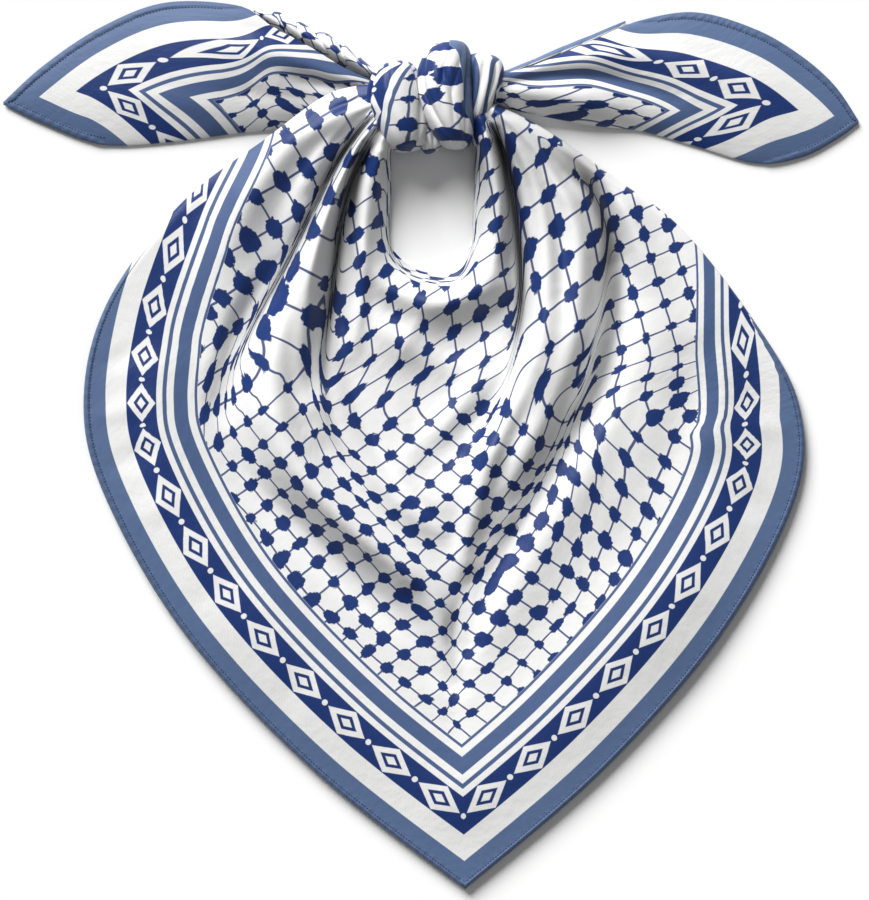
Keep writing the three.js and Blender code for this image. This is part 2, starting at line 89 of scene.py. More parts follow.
# How softly the print changes across a pleat, and the steepest change that is followed elsewhere
PLEAT_SOFTNESS = 1.6
STEEPEST = 3
# Where the rolls and the lobes lie on the square, in millimetres from both hems, for the weave
ROLL_PLACE, LOBE_PLACE = 200, 240

# The weave's diagonal lines, and the puckers that the stitches pull in the hem, in millimetres
TWILL_PITCH = 1.15
PUCKER_PITCH = 5.2

# Linear colours
WHITE = (0.80, 0.80, 0.795, 1.0)
NAVY = (0.0065, 0.030, 0.152, 1.0)
STEEL = (0.088, 0.141, 0.270, 1.0)
INNER_STEEL_DARKER = 0.30
THREAD = (0.016, 0.036, 0.11, 1.0)
FLOOR = (0.93, 0.93, 0.925, 1.0)
FLOOR_CLOUDS = (0.90, 0.90, 0.895, 1.0)


def table(names, rows):
    """A table with named columns, as one array for each name."""
    return dict(zip(names.split(), np.array(rows, float).T))


# The body from the knot down to the point, one row for each station on each half.
# x y: outline; neck_x neck_y: neckline; edge neck_edge: heights of the two borders; roll: radius of the edge;
# hem: 1 where it shows; reach: rear layer past the neckline; tuck: cloth turned under at the outline;
# run: length along the hem from the point; neck_run: length along the fold from its middle.
BODY_NAMES = "x y neck_x neck_y edge neck_edge roll hem reach tuck run neck_run"
BODY_LEFT = table(BODY_NAMES, [
    (-29, 191, -19, 160, 17, 9, 7, 0, -3, 130, 455, -98),
    (-54, 186, -21, 154, 13, 6, 8, 0, -3, 100, 452, -91),
    (-87, 163, -21, 146, 8, 3.5, 9, 0, -3, 56, 440, -82),
    (-133, 128, -21, 135, 3, 3, 8, 0, -3, 25, 415, -70),
    (-172, 75, -22, 122, 3, 3, 5, 1, -2, 5, 370, -56),
    (-184, 22, -22, 110, 3, 3, 3, 1, -1, 0, 325, -43),
    (-172, -28, -20, 101, 3, 3, 3, 1, 2, 0, 280, -32),
    (-130, -100, -14, 94, 3, 3, 3, 1, 3, 0, 200, -22),
    (-62, -172, -6, 90, 3, 3, 3, 1, 3, 0, 102, -12),
    (18, -234.5, 5, 88, 3, 3, 3, 1, 3, 0, 0, 0),
])
BODY_RIGHT = table(BODY_NAMES, [
    (29, 183, 20, 165, 13, 9, 6, 0, -3, 140, 455, 98),
    (60, 168, 23, 156, 6, 6, 8, 0, -3, 115, 450, 91),
    (96, 143, 23, 146, 3, 3.5, 9, 0, -3, 90, 435, 82),
    (132, 116, 23, 134, 3, 3, 8, 0, -3, 68, 415, 70),
    (170, 68, 22, 122, 3, 3, 6, 0, -2, 24, 370, 56),
    (195, 22, 22, 110, 3, 3, 3, 1, -1, 1, 325, 43),
    (193, -28, 20, 101, 3, 3, 3, 1, 2, 0, 280, 32),
    (154, -100, 17, 93, 3, 3, 3, 1, 3, 0, 200, 22),
    (91, -172, 12, 89, 3, 3, 3, 1, 3, 0, 102, 12),
    (18, -234.5, 5, 88, 3, 3, 3, 1, 3, 0, 0, 0),
])

# Where the hem shows again beyond the turned-under cloth: start and end as shares of the outline from the
# knot, and the width of the strip.
FOLDED_OVER = {"left": (0.30, 0.385, 4.6), "right": (0.325, 0.43, 5.0)}

# The folds: height and half width at the knot end, the middle and the far end, and the line of the crest.
# A valley has a height below zero. These fourteen are the folds of the solids, and finer creases follow them.
FOLDS = [
    ((3, 9, 2), (5, 12, 16), [(-30, 179), (-54, 172), (-76, 157), (-98, 128), (-111, 93), (-116, 51)]),
    ((-3, -6, -2), (3, 5, 6), [(-31, 173), (-43, 162), (-51, 149), (-62, 133)]),
    ((3, 14, 3), (4.5, 12, 6), [(-27, 171), (-42, 153), (-56, 123), (-70, 86), (-80, 51), (-80, 18),
                                (-65, -14), (-40, -42), (-14, -63), (5, -86), (12, -116)]),
    ((-3, -7, -3), (4, 7, 9), [(-38, 146), (-43, 125), (-46, 104), (-47, 67)]),
    ((4, 7, 4), (4.5, 8, 4.5), [(-23, 160), (-28, 141), (-32, 120), (-33, 102), (-24, 85), (-6, 77), (9, 77),
                                (23, 86), (32, 101), (35, 120), (32, 141), (27, 160)]),
    ((-2, -6, -2), (3.5, 7, 9), [(31, 173), (39, 146), (43, 120), (45, 83), (46, 62), (41, 35), (18, -2)]),
    ((3, 15, 3), (4.5, 10, 5), [(32, 171), (46, 156), (57, 131), (61, 99), (59, 67), (50, 35), (35, 4),
                                (24, -28), (17, -57), (13, -87)]),
    ((-3, -6, -2), (3.5, 5.5, 7), [(39, 178), (68, 146), (84, 131), (95, 99)]),
    ((3, 10, 2), (5, 11, 15), [(38, 180), (60, 165), (83, 143), (104, 115), (119, 83), (128, 46)]),
    ((-2, -6, -4), (10, 9, 6), [(90, 93), (82, 56), (71, 25), (60, -2), (44, -26), (31, -44), (21, -65),
                                (15, -92), (13, -124)]),
    ((3, 6, 2), (20, 22, 12), [(119, 56), (102, 14), (78, -26), (55, -60), (36, -94)]),
    ((-2, -5, -2), (8, 7, 8), [(-69, 109), (-88, 83), (-101, 62), (-108, 40), (-112, 19)]),
    ((1, 0.5, 1), (9, 11, 9), [(-43, 62), (-24, 39), (0, 31), (25, 41), (38, 62)]),
    ((4, 4, 4), (11, 18, 11), [(-58, 20), (-40, -12), (-12, -30), (9, -28), (27, -3)]),
]
CREASES = [
    ((-1.5, -1.5, 0), (1.8, 2.5, 3), [(-30, 183), (-50, 178), (-72, 163)]),
    ((1.2, 1.6, 0), (1.8, 2.6, 3), [(-28, 176), (-45, 168), (-62, 150), (-75, 128)]),
    ((-1.5, -2, 0), (1.6, 2.2, 3), [(-27, 168), (-38, 156), (-47, 140)]),
    ((1.2, 1.8, 0), (1.6, 2.4, 3), [(-24, 164), (-31, 150), (-36, 132), (-38, 112)]),
    ((-1, -1.4, 0), (1.5, 2, 2.5), [(-22, 156), (-25, 140), (-27, 122), (-26, 106)]),
    ((-1.2, -1.5, 0), (1.8, 2.5, 3), [(34, 182), (50, 175), (70, 160), (88, 140)]),
    ((1.3, 1.7, 0), (1.8, 2.6, 3), [(33, 177), (47, 165), (62, 148), (72, 125)]),
    ((-1.5, -1.8, 0), (1.6, 2.4, 3), [(31, 172), (41, 158), (50, 138), (54, 112)]),
    ((1.2, 1.5, 0), (1.5, 2.2, 3), [(28, 166), (35, 152), (38, 134), (38, 112)]),
    ((-1, -1.3, 0), (1.5, 2, 2.5), [(25, 158), (28, 142), (29, 124), (27, 106)]),
    ((-2, -3, -1), (5, 5, 4), [(-46, 62), (-42, 34), (-32, 6), (-16, -20), (2, -38)]),
    ((0, 3, 7), (6, 8, 9), [(-8, 74), (18, 74), (38, 84)]),
    ((1, 7, 1), (11, 13, 9), [(-34, 68), (-12, 58), (10, 46)]),
    ((1, 3.5, 1), (6, 8, 7), [(50, 50), (30, 33), (8, 13), (-12, -8)]),
    ((1, 2, 1), (5, 6, 5), [(-60, 72), (-58, 41), (-46, 9), (-27, -18), (-6, -39), (5, -44)]),
    ((1, 1.8, 0.5), (7, 7, 8), [(-98, 88), (-112, 55), (-118, 20), (-108, -10)]),
    ((0, 7, 4), (7, 10, 9), [(-80, 78), (-88, 50), (-92, 22), (-80, -8), (-60, -30), (-36, -52), (-16, -68)]),
    ((-1, -4.5, -3), (6, 7, 7), [(-116, 22), (-108, 0), (-90, -26), (-66, -50), (-38, -76), (-10, -98),
                                 (2, -118)]),
    ((-0.8, -1.6, 0), (8, 9, 8), [(112, 30), (96, -10), (76, -46), (52, -78)]),
    ((-1, -2, 0), (4, 5, 5), [(22, -10), (16, -48), (12, -86), (11, -128), (14, -160)]),
    ((1, 1.5, 0.5), (5, 5, 5), [(66, 70), (60, 36), (50, 6), (38, -22)]),
    ((-0.8, -1.4, 0), (10, 10, 9), [(150, 60), (140, 20), (118, -22)]),
    ((0.8, 1.4, 0), (10, 10, 9), [(-150, 40), (-140, 0), (-118, -40)]),
    ((4, 9, 2), (4, 6, 6.5), [(-29, 172), (-39, 154), (-50, 131), (-60, 102), (-65, 72), (-68, 38),
                              (-60, 8)]),
    ((-7, -12, -3), (2.4, 3.4, 4.5), [(-34, 158), (-43, 138), (-48, 116), (-50, 95), (-53, 70)]),
    ((3, 6, 2), (3.5, 5, 5), [(-27, 154), (-34, 133), (-37, 110), (-37, 88), (-39, 68), (-43, 48)]),
    ((-5, -7, -2), (2.2, 3.2, 5), [(-33, 171), (-44, 158), (-54, 144), (-68, 112), (-83, 85), (-98, 58)]),
    ((-3, -4, -1), (2, 3, 4), [(-29, 178), (-42, 169), (-54, 158), (-66, 142)]),
    ((2, 4, 1), (3, 4.5, 6), [(-30, 175), (-46, 164), (-60, 148), (-76, 118)]),
    ((3, 6, 2), (3.5, 4.5, 5), [(26, 172), (31, 158), (35, 140), (37, 120), (36, 98), (28, 82)]),
    ((-7, -12, -2), (2.4, 3.4, 5), [(34, 166), (40, 146), (44, 124), (46.5, 104), (47.5, 84), (46, 62)]),
    ((3, 13, 5), (4, 10, 9), [(36, 176), (53, 161), (67, 140), (76, 114), (78, 86), (74, 56), (65, 28),
                              (52, 0), (37, -32), (24, -62)]),
    ((1, 6.5, 3), (7, 10, 9), [(80, 141), (90, 112), (93, 86), (88, 56), (78, 26), (62, -6), (45, -36)]),
    ((-4, -7, -4), (3.5, 7, 7), [(52, 172), (73, 152), (90, 134), (101, 110), (103, 84), (99, 58), (90, 28),
                                 (73, 0), (52, -36), (30, -70), (17, -102)]),
    ((0, 5, 3), (10, 14, 14), [(118, 110), (138, 82), (150, 46), (148, 8)]),
    ((1, 3, 1), (6, 8, 6), [(78, 60), (69, 34), (58, 8), (44, -18), (32, -38)]),
    ((-1, -4.5, -5), (6, 9, 9), [(-22, 68), (-2, 56), (18, 56), (36, 70)]),
    ((-1, -2.5, -1), (10, 15, 10), [(-36, 46), (-16, 32), (6, 28), (28, 42)]),
    ((0.6, 1.4, 0.4), (4, 5, 5), [(-30, 50), (-18, 24), (-10, -2)]),
    ((0.5, 1.2, 0.4), (4, 5, 5), [(30, 52), (20, 30), (4, 8)]),
    ((2, 6.5, 2.5), (22, 28, 22), [(-146, 34), (-138, -18), (-108, -76), (-62, -128), (4, -182)]),
    ((2.5, 6.5, 2), (22, 28, 22), [(26, -182), (78, -132), (124, -78), (154, -20), (160, 30)]),
    ((0, -0.9, 0), (4, 5, 6), [(-182, 40), (-166, 46), (-146, 56)]),
    ((0, 1.0, 0), (4, 5, 6), [(-184, 14), (-166, 18), (-142, 26)]),
    ((0, -1.1, 0), (4, 6, 6), [(-178, -14), (-158, -6), (-134, 2)]),
    ((0, 0.9, 0), (4, 5, 6), [(-168, -42), (-148, -34), (-124, -22)]),
    ((0, -0.8, 0), (4, 6, 6), [(-136, -92), (-118, -78), (-98, -62)]),
    ((0, -0.9, 0), (4, 6, 6), [(-88, -148), (-74, -130), (-58, -108)]),
    ((0, 0.9, 0), (4, 6, 6), [(196, 10), (178, 10), (154, 14)]),
    ((0, -1.0, 0), (4, 6, 6), [(188, -36), (170, -30), (148, -20)]),
    ((0, 0.8, 0), (4, 6, 6), [(160, -90), (142, -78), (120, -62)]),
    ((0, -0.9, 0), (4, 6, 6), [(118, -144), (100, -126), (82, -106)]),
]

# Where cloth is folded away out of sight, so that the print closes up: gain at the knot end, the middle
# and the far end, half width at the same places, and the line. Over a crest it opens, with a gain below zero.
PLEATS = [
    ((3, 4, 1), (3, 3.5, 5), [(-34, 171), (-50, 141), (-69, 108), (-84, 84), (-99, 56), (-108, 31),
                              (-110, 15)]),
    ((4, 6, 1), (3, 5, 6), [(-31, 168), (-44, 141), (-48, 118), (-50, 95), (-52, 70)]),
    ((0, 2.2, 0.5), (4, 4.5, 4), [(-59, 92), (-60, 60), (-59, 29), (-52, 6), (-41, -10), (-24, -29),
                                  (-5, -45)]),
    ((4, 4.5, 0.5), (3, 4, 5), [(31, 171), (40, 146), (46, 120), (48, 104), (47, 66), (42, 44), (35, 27),
                                (24, -2)]),
    ((2, 4.5, 2.5), (3.5, 4.5, 3.5), [(44, 176), (66, 154), (82, 130), (90, 106), (89, 84), (86, 56),
                                      (80, 28), (70, 4), (56, -18), (41, -38), (31, -52)]),
    ((2, 1.5, 0), (3, 4, 5), [(50, 180), (80, 152), (104, 128), (120, 100)]),
    ((0.3, 1.2, 0.3), (6, 6, 6), [(-33, 75), (-15, 62), (5, 60), (25, 68), (38, 80)]),
    ((0, -0.52, 0), (10, 16, 10), [(-64, 108), (-74, 70), (-82, 34), (-78, 2), (-60, -30)]),
    ((0, -0.35, 0), (10, 13, 10), [(62, 130), (70, 100), (68, 68), (60, 38)]),
    ((0, -0.45, 0), (12, 20, 14), [(124, 50), (110, 6), (90, -28), (64, -62)]),
]

# The deepest pleats, from left to right. The print starts anew beyond each, since cloth is hidden inside.
PLEAT_LINES = [
    [(-30, 174), (-38, 166), (-48, 152), (-62, 126), (-76, 98), (-92, 68), (-106, 36), (-112, 10)],
    [(-29, 166), (-37, 152), (-43, 138), (-48, 116), (-50.5, 95), (-54, 70), (-57, 42), (-55, 18), (-46, -6),
     (-26, -29), (-8, -42)],
    [(31, 170), (36, 160), (40, 146), (44, 124), (46.5, 104), (47.5, 84), (46, 62), (41, 38), (34, 20)],
    [(40, 180), (56, 167), (73, 152), (86, 134), (93, 110), (92, 84), (87, 56), (80, 28), (68, 2), (54, -22)],
]
# The painted shade of each pleat: half width, how dark it is, and where along the line it starts, is full,
# and ends.
PAINTED_PLEAT_SHADES = [(2.4, 0.75, (0.0, 0.08, 0.50, 0.90)), (3.0, 0.88, (0.0, 0.06, 0.42, 0.80)),
                (3.2, 0.95, (0.0, 0.06, 0.62, 0.92)), (6.5, 0.84, (0.10, 0.25, 0.45, 0.70))]
# The print between those pleats: where it leaves the flat lay and the height over which it does so, then for
# the lines along the left hem and for those along the right one: how many millimetres of cloth lie on each
# millimetre of the fold, and their turn in degrees.
PRINT_PATCHES = [((-128, 40), 45, (0.84, 22), (0.84, 22)), ((-79, 24), 42, (0.66, 22), (0.66, 22)),
                 ((-2, 5), 46, (0.92, -41), (1.26, -16)), ((62, 5), 50, (0.84, -54), (0.84, -28)),
                 ((120, 0), 52, (1.04, -42), (1.04, -34))]

# Creases that the print slides into from both sides: millimetres at the knot end, the middle and the far end,
# half width there, and the line.
SLIPS = [
    ((0, 6, 3), (6, 6, 5), [(46, -26), (34, -44), (24, -64), (16, -86), (11, -112), (9, -140)]),
    ((0, 4, 1), (5, 5, 5), [(-56, -2), (-40, -22), (-20, -44), (-2, -70), (8, -98)]),
    ((0, -5, 0), (14, 16, 14), [(70, -40), (52, -74), (36, -106)]),
    ((0, -5, 0), (12, 15, 12), [(-84, -40), (-60, -70), (-34, -98)]),
]

# Where the knots of the net are larger or smaller than elsewhere: place, reach, and change as a share.
KNOT_SIZES = [(-82, 50, 34, 0.22), (70, -40, 46, 0.14), (-50, -70, 34, 0.12), (120, 80, 46, -0.22),
              (0, -130, 40, -0.16), (10, 40, 34, -0.26), (60, 105, 34, -0.24), (62, 30, 24, -0.18),
              (-34, 50, 24, -0.22), (-120, 0, 22, -0.12)]

# The tails from the knot to the tip. x y: upper edge; low_x low_y: lower edge; edge low_edge: their heights;
# crown: rise between them; upper lower: millimetres of cloth from each hem at the two edges;
# upper_scale lower_scale: millimetres of cloth to each millimetre across.
TAIL_NAMES = "x y low_x low_y edge low_edge crown upper upper_scale lower lower_scale"
TAIL_LEFT = table(TAIL_NAMES, [
    (-28, 192, -28, 180, 12, 5, 0.5, 54, 3.5, 130, 2.5),
    (-46, 200, -46, 177, 12, 3.5, 0.5, 50, 1.35, 110, 1.5),
    (-64, 211, -63, 172, 11, 2, 2, 40, 1.3, 90, 1.0),
    (-84, 222, -81, 168, 10, 1.6, 6, 24, 1.45, 72, 0.7),
    (-102, 233, -101, 166, 7, 1.6, 8, 2, 1.25, 60, 0.5),
    (-141, 235, -140, 161, 2, 1.6, 6, 0, 1.02, 30, 0.8),
    (-175, 222, -175, 160, 1.6, 1.6, 4, 0, 0.92, 2, 0.95),
    (-205, 202, -206, 171, 1.6, 1.6, 2, 0, 0.78, 0, 0.91),
    (-226.5, 182.5, -226.5, 181, 1.6, 1.6, 0, 0, 0.75, 0, 0.9),
])
TAIL_RIGHT = table(TAIL_NAMES, [
    (33, 195, 31, 182, 19, 12, 3, 52, 3, 112, 2),
    (54, 201, 47, 177, 14, 8, 5, 42, 1.6, 95, 1.3),
    (84, 214, 84, 170, 8, 4, 7, 28, 1.36, 76, 1.0),
    (109, 225, 111, 167, 3, 1.6, 7, 3, 1.38, 56, 1.3),
    (140, 230, 140, 159, 1.6, 1.6, 6, 0, 0.96, 27, 1.25),
    (172, 221, 172, 150, 1.6, 1.6, 5, 0, 0.86, 5, 0.9),
    (196, 207, 196, 153, 1.6, 1.6, 3, 0, 0.76, 0, 0.9),
    (214, 191, 214, 162, 1.6, 1.6, 1.5, 0, 0.72, 0, 0.9),
    (226.5, 172.5, 226.5, 171, 1.6, 1.6, 0, 0, 0.7, 0, 0.9),
])
TAIL_LEFT_FOLDS = [
    ((1, 3, 0.5), (3, 6, 9), [(-28, 191), (-52, 196), (-80, 206), (-110, 212)]),
    ((-1, -3, 0), (2.5, 4, 6), [(-40, 189), (-58, 192), (-80, 196)]),
    ((-0.6, -1.2, 0), (3, 5, 7), [(-70, 213), (-96, 220), (-126, 222)]),
    ((-0.5, -1.1, 0), (3, 5, 8), [(-62, 184), (-92, 186), (-128, 190)]),
    ((0.4, 0.9, 0), (5, 7, 9), [(-120, 180), (-150, 184), (-186, 186)]),
]
TAIL_RIGHT_FOLDS = [
    ((1, 4, 1), (3, 8, 9), [(36, 186), (62, 184), (92, 180), (126, 172)]),
    ((-1, -4, -1), (2.5, 4, 5), [(40, 191), (64, 195), (96, 194), (130, 184)]),
    ((0.8, 1.8, 0.3), (3, 5, 7), [(48, 198), (76, 205), (108, 207), (140, 200)]),
    ((-0.6, -1.3, 0), (3, 5, 7), [(70, 208), (98, 215), (130, 216)]),
    ((0.4, 0.9, 0), (6, 8, 9), [(130, 205), (160, 196), (192, 182)]),
]

# The layers behind the tails: outer edge, edge hidden under the tail, crest between them.
ROLL_NAMES = "x y low_x low_y crest low_edge"
ROLL_LEFT = table(ROLL_NAMES, [
    (-94, 231, -93, 228, 1.7, 1.6),
    (-82, 229, -84, 221, 5, 1.6),
    (-69, 223, -71, 212, 8, 1.6),
    (-55, 217, -58, 204, 11, 2),
    (-43, 209, -45, 198, 14, 4),
    (-28, 198, -28, 192, 17, 9),
])
ROLL_RIGHT = table(ROLL_NAMES, [
    (103, 225.5, 103, 222, 1.7, 1.6),
    (84, 217.5, 85, 211.5, 4.5, 1.6),
    (68, 211, 70, 204.5, 8, 3),
    (52, 204, 53, 198, 11, 5),
    (34, 197, 34, 190, 15, 9),
])

# How each roll is folded and printed: length of one slanting fold, its slant across the roll, its depth and
# bulge; the cloth across it; the net's cell and turn; the hem's distance and its change across.
ROLL_LOOKS = {
    "left": {"twist": 12.5, "slant": -1.15, "depth": 2.6, "bulge": 1.6, "across": 24.0,
             "cell": 11.0, "turn": 62.0, "hem": NO_HEM, "hem_across": 0.0},
    "right": {"twist": 17.0, "slant": -0.8, "depth": 0.7, "bulge": 0.2, "across": 14.0,
              "cell": 11.0, "turn": 20.0, "hem": 2.0, "hem_across": 27.0},
}

# The lobes of the knot: centre line from above, half widths, middle height and rise, and the creases of each:
# angle round the lobe (90 is the crest), depth as a share, half width, lean and bow, the angles in degrees.
LOBES = {
    "left": {"line": [(-20, 202), (-18, 181), (-11, 156)], "half": (13, 15.5, 12), "middle": 15, "rise": 20.5,
             "creases": [(50, 0.14, 7, 20, -14), (108, 0.04, 10, -20, 10), (150, 0.12, 7, 14, 8),
                         (76, 0.05, 6, -26, 16)]},
    "right": {"line": [(9, 213), (7, 186), (14, 157)], "half": (14, 15, 10.5), "middle": 16, "rise": 22,
              "creases": [(124, 0.12, 8, -30, 8), (60, 0.05, 6, 26, 14), (92, 0.08, 8, -34, -12),
                         (38, 0.10, 6, 16, 6), (78, 0.05, 6, 10, 20)]},
    "strand": {"line": [(28, 207), (28, 192), (24, 171)], "half": (12, 10, 5), "middle": 13, "rise": 14,
               "creases": [(56, 0.14, 9, 12, 4), (92, 0.12, 8, 10, 6), (128, 0.12, 8, 6, 4)]},
    "under": {"line": [(-5, 172), (-1, 163), (1, 155)], "half": (6, 7, 6), "middle": 11, "rise": 12,
              "creases": [(70, 0.14, 12, 14, 0), (110, 0.12, 10, -12, 0)]},
}

# The print on each lobe: the hem's distance at the crest, its change for each millimetre across and down,
# its change near the top, and where the border ends; the net's cell, its turn in degrees, its start and how
# much its knots grow.
LOBE_PRINT = {
    "left": {"hem": 45.5, "hem_across": -1.3, "hem_down": 0.34, "hem_top": 0, "border": 44.4,
             "cell": 15.0, "turn": -10, "start": (0.30, 0.01), "knots": -0.25},
    "right": {"hem": 30, "hem_across": 2.4, "hem_down": 0.0, "hem_top": 17, "border": STEEL_HEM,
              "cell": 17.0, "turn": -36, "start": (-0.17, 0.60), "knots": 0.38},
    "strand": {"hem": 46, "hem_across": 1.15, "hem_down": 0.0, "hem_top": 0, "border": BORDER,
               "cell": 16.0, "turn": 0, "start": (0, 0), "knots": 0.0},
    "under": {"hem": NO_HEM, "hem_across": 0, "hem_down": 0.0, "hem_top": 0, "border": BORDER,
              "cell": 12.0, "turn": 30, "start": (0.4, 0.2), "knots": 0.1},
}


def catmull(values, u):
    """A smooth curve through values spaced evenly from u = 0 to u = 1."""
    u = np.asarray(u, float)
    last = len(values) - 1
    place = np.clip(u, 0, 1) * last
    i = np.minimum(place.astype(int), last - 1)
    f = place - i
    before, start = values[np.maximum(i - 1, 0)], values[i]
    end, after = values[i + 1], values[np.minimum(i + 2, last)]
    leave, arrive = (end - before) / 2, (after - start) / 2
    cubic = 2 * start - 2 * end + leave + arrive
    square = -3 * start + 3 * end - 2 * leave - arrive
    return ((cubic * f + square) * f + leave) * f + start


def read_at(half, u):
    """Every column of a table at u."""
    return {name: catmull(values, u) for name, values in half.items()}


def width_at(here):
    """The distance from one edge of a strip to the other."""
    return np.hypot(here["low_x"] - here["x"], here["low_y"] - here["y"])


def lengths_along(path):
    """The length of a path up to each of its points."""
    return np.concatenate([[0], np.cumsum(np.linalg.norm(np.diff(path, axis=0), axis=1))])


def at_thirds(three, share):
    """A value given at the start, the middle and the end, at any share of the length."""
    return np.interp(share, (0, 0.5, 1), three)


def mix(a, b, f):
    """Between a and b at the share f."""
    return a + (b - a) * f


def quarter_round(distance, radius):
    """0 at a border, 1 one radius inside it, round between."""
    inside = np.clip(distance / radius, 0, 1)
    return np.sqrt(1 - (1 - inside) ** 2)


def soft_floor(value, floor, softness=0.8):
    """The value, held above a floor with a soft bend."""
    return floor + softness * np.log1p(np.exp((value - floor) / softness))


def smooth_line(points, steps):
    """A smooth line through a few points, as short straight steps."""
    points = np.array(points, float)
    u = np.linspace(0, 1, steps + 1)
    return np.stack([catmull(points[:, 0], u), catmull(points[:, 1], u)], axis=1)


def nearest_on(line, x, y):
    """Distance to a line, the length along it to the nearest place, and the line's whole length."""
    best = np.full(np.shape(x), np.inf)
    along = np.zeros(np.shape(x))
    start = 0.0
    for (ax, ay), (bx, by) in zip(line[:-1], line[1:]):
        dx, dy = bx - ax, by - ay
        size = math.hypot(dx, dy)
        f = np.clip(((x - ax) * dx + (y - ay) * dy) / size ** 2, 0, 1)
        distance = np.hypot(x - ax - f * dx, y - ay - f * dy)
        nearer = distance < best
        best = np.where(nearer, distance, best)
        along = np.where(nearer, start + f * size, along)
        start += size
    return best, along, start


def point_on(line, along):
    """The place on a line at a length along it."""
    lengths = lengths_along(line)
    return np.interp(along, lengths, line[:, 0]), np.interp(along, lengths, line[:, 1])


def folds_at(folds, x, y):
    """Height of all the folds together at each place, or the sum of what else such a list gives."""
    total = np.zeros(np.shape(x))
    for heights, spreads, line in folds:
        distance, along, length = nearest_on(smooth_line(line, CURVE_STEPS), x, y)
        share = along / length
        total += at_thirds(heights, share) * np.exp(-(distance / at_thirds(spreads, share)) ** 2)
    return total


def closing_at(x, y):
    """How many times closer the print lies than on flat cloth, before the whole is scaled to fit."""
    return np.maximum(1 + folds_at(PLEATS, x, y), MOST_OPEN)


def slip_at(x, y):
    """How far the print has slid away from each crease into it, as two distances in the plan."""
    slip_x, slip_y = np.zeros(np.shape(x)), np.zeros(np.shape(x))
    for amounts, spreads, line in SLIPS:
        crease = smooth_line(line, CURVE_STEPS)
        distance, along, length = nearest_on(crease, x, y)
        share = along / length
        spread = at_thirds(spreads, share)
        px, py = point_on(crease, along)
        pull = at_thirds(amounts, share) * np.tanh(distance / spread)
        pull = pull * np.exp(-(distance / (3.0 * spread)) ** 2) / np.maximum(distance, TINY)
        slip_x += pull * (x - px)
        slip_y += pull * (y - py)
    return slip_x, slip_y


# The body

def body_station(s):
    """Every column of the body's tables at s, from 0 at the knot's left side to 1 at its right side."""
    s = np.asarray(s, float)
    u = np.where(s <= 0.5, 2 * s, 2 * (1 - s))
    left, right = read_at(BODY_LEFT, u), read_at(BODY_RIGHT, u)
    here = {name: np.where(s <= 0.5, left[name], right[name]) for name in left}
    here["length"] = np.hypot(here["x"] - here["neck_x"], here["y"] - here["neck_y"])
    return here


def body_surface(s, t):
    """The upper face of the front layer: x, y and height at s round the body and t from neck to outline."""
    here = body_station(s)
    x, y = mix(here["neck_x"], here["x"], t), mix(here["neck_y"], here["y"], t)
    lift = 0.0
    for side in (-1, 1):
        distance = np.hypot(x - side * GATHER_LIFT["x"], y - GATHER_LIFT["y"])
        lift = lift + GATHER_LIFT["height"] * np.exp(-(distance / GATHER_LIFT["reach"]) ** 2)
    field = soft_floor(FRONT_FLOOR + CROWN + lift + folds_at(FOLDS + CREASES, x, y), FRONT_FLOOR)
    border = mix(here["neck_edge"], here["edge"], t)
    outer = quarter_round((1 - t) * here["length"], here["roll"])
    inner = quarter_round(t * here["length"], NECK_ROLL_RADIUS)
    top = np.maximum(border + (field - border) * outer * inner, FRONT_FLOOR)
    hem = HEM_RAISE * hem_profile((1 - t) * here["length"]) * np.clip(here["hem"] * 3 - 1, 0, 1)
    return x, y, top + hem


def hem_profile(distance):
    """The raised, rounded shape of the rolled hem across its width."""
    middle = HEM_WIDTH / 2
    arch = np.sqrt(np.clip(1 - ((distance - middle) / middle) ** 2, 0, 1))
    return arch * 0.8 + 0.2 * (distance < HEM_WIDTH)


def outline_line(half, steps=150):
    """One half of the body's outline, its length at each point, and the cloth turned under there."""
    u = np.linspace(0, 1, steps + 1)
    line = np.stack([catmull(half["x"], u), catmull(half["y"], u)], axis=1)
    return line, lengths_along(line), catmull(half["tuck"], u)


def hem_reading(half, folded_over, x, y):
    """Cloth from the hem, the turned-under part included, and length along that hem from the point."""
    line, lengths, tucks = outline_line(half)
    distance, along, whole = nearest_on(line, x, y)
    start, end, widest = folded_over
    share = (along / whole - start) / (end - start)
    strip = widest * np.sqrt(np.clip(share, 0, 1)) * (share < 1)
    tucked = distance + np.maximum(np.interp(along, lengths, tucks), 0)
    return np.where(distance < strip, distance, tucked), whole - along


def net_place(distance):
    """How many cells of the net lie between the hem and a place, as cells grow away from the hem."""
    growth = NET_CELL["growth"]
    cell = np.maximum(NET_CELL["near"] + growth * (distance - BORDER), NET_CELL["least"])
    return np.log(cell / NET_CELL["near"]) / growth, cell


def net_reading(a, b):
    """What the net is drawn from: places along both sets of its lines, and the cell's size here."""
    column, cell_a = net_place(a)
    row, cell_b = net_place(b)
    return column, row, (cell_a + cell_b) / 2


def print_readings(cloth, net, hems, along):
    """What the print of a piece and its painted pleat shade are drawn from: four readings of three numbers at
    every point of its grid.
    """
    shape = np.shape(cloth[0])
    named = {"cloth": cloth, "net": net, "hems": hems, "along": along}
    return {name: np.stack([np.broadcast_to(value, shape) for value in values], axis=-1)
            for name, values in named.items()}


def turned(along, across, degrees):
    """Two distances on the cloth, read along lines that are turned."""
    cosine, sine = math.cos(math.radians(degrees)), math.sin(math.radians(degrees))
    return along * cosine + across * sine, across * cosine - along * sine


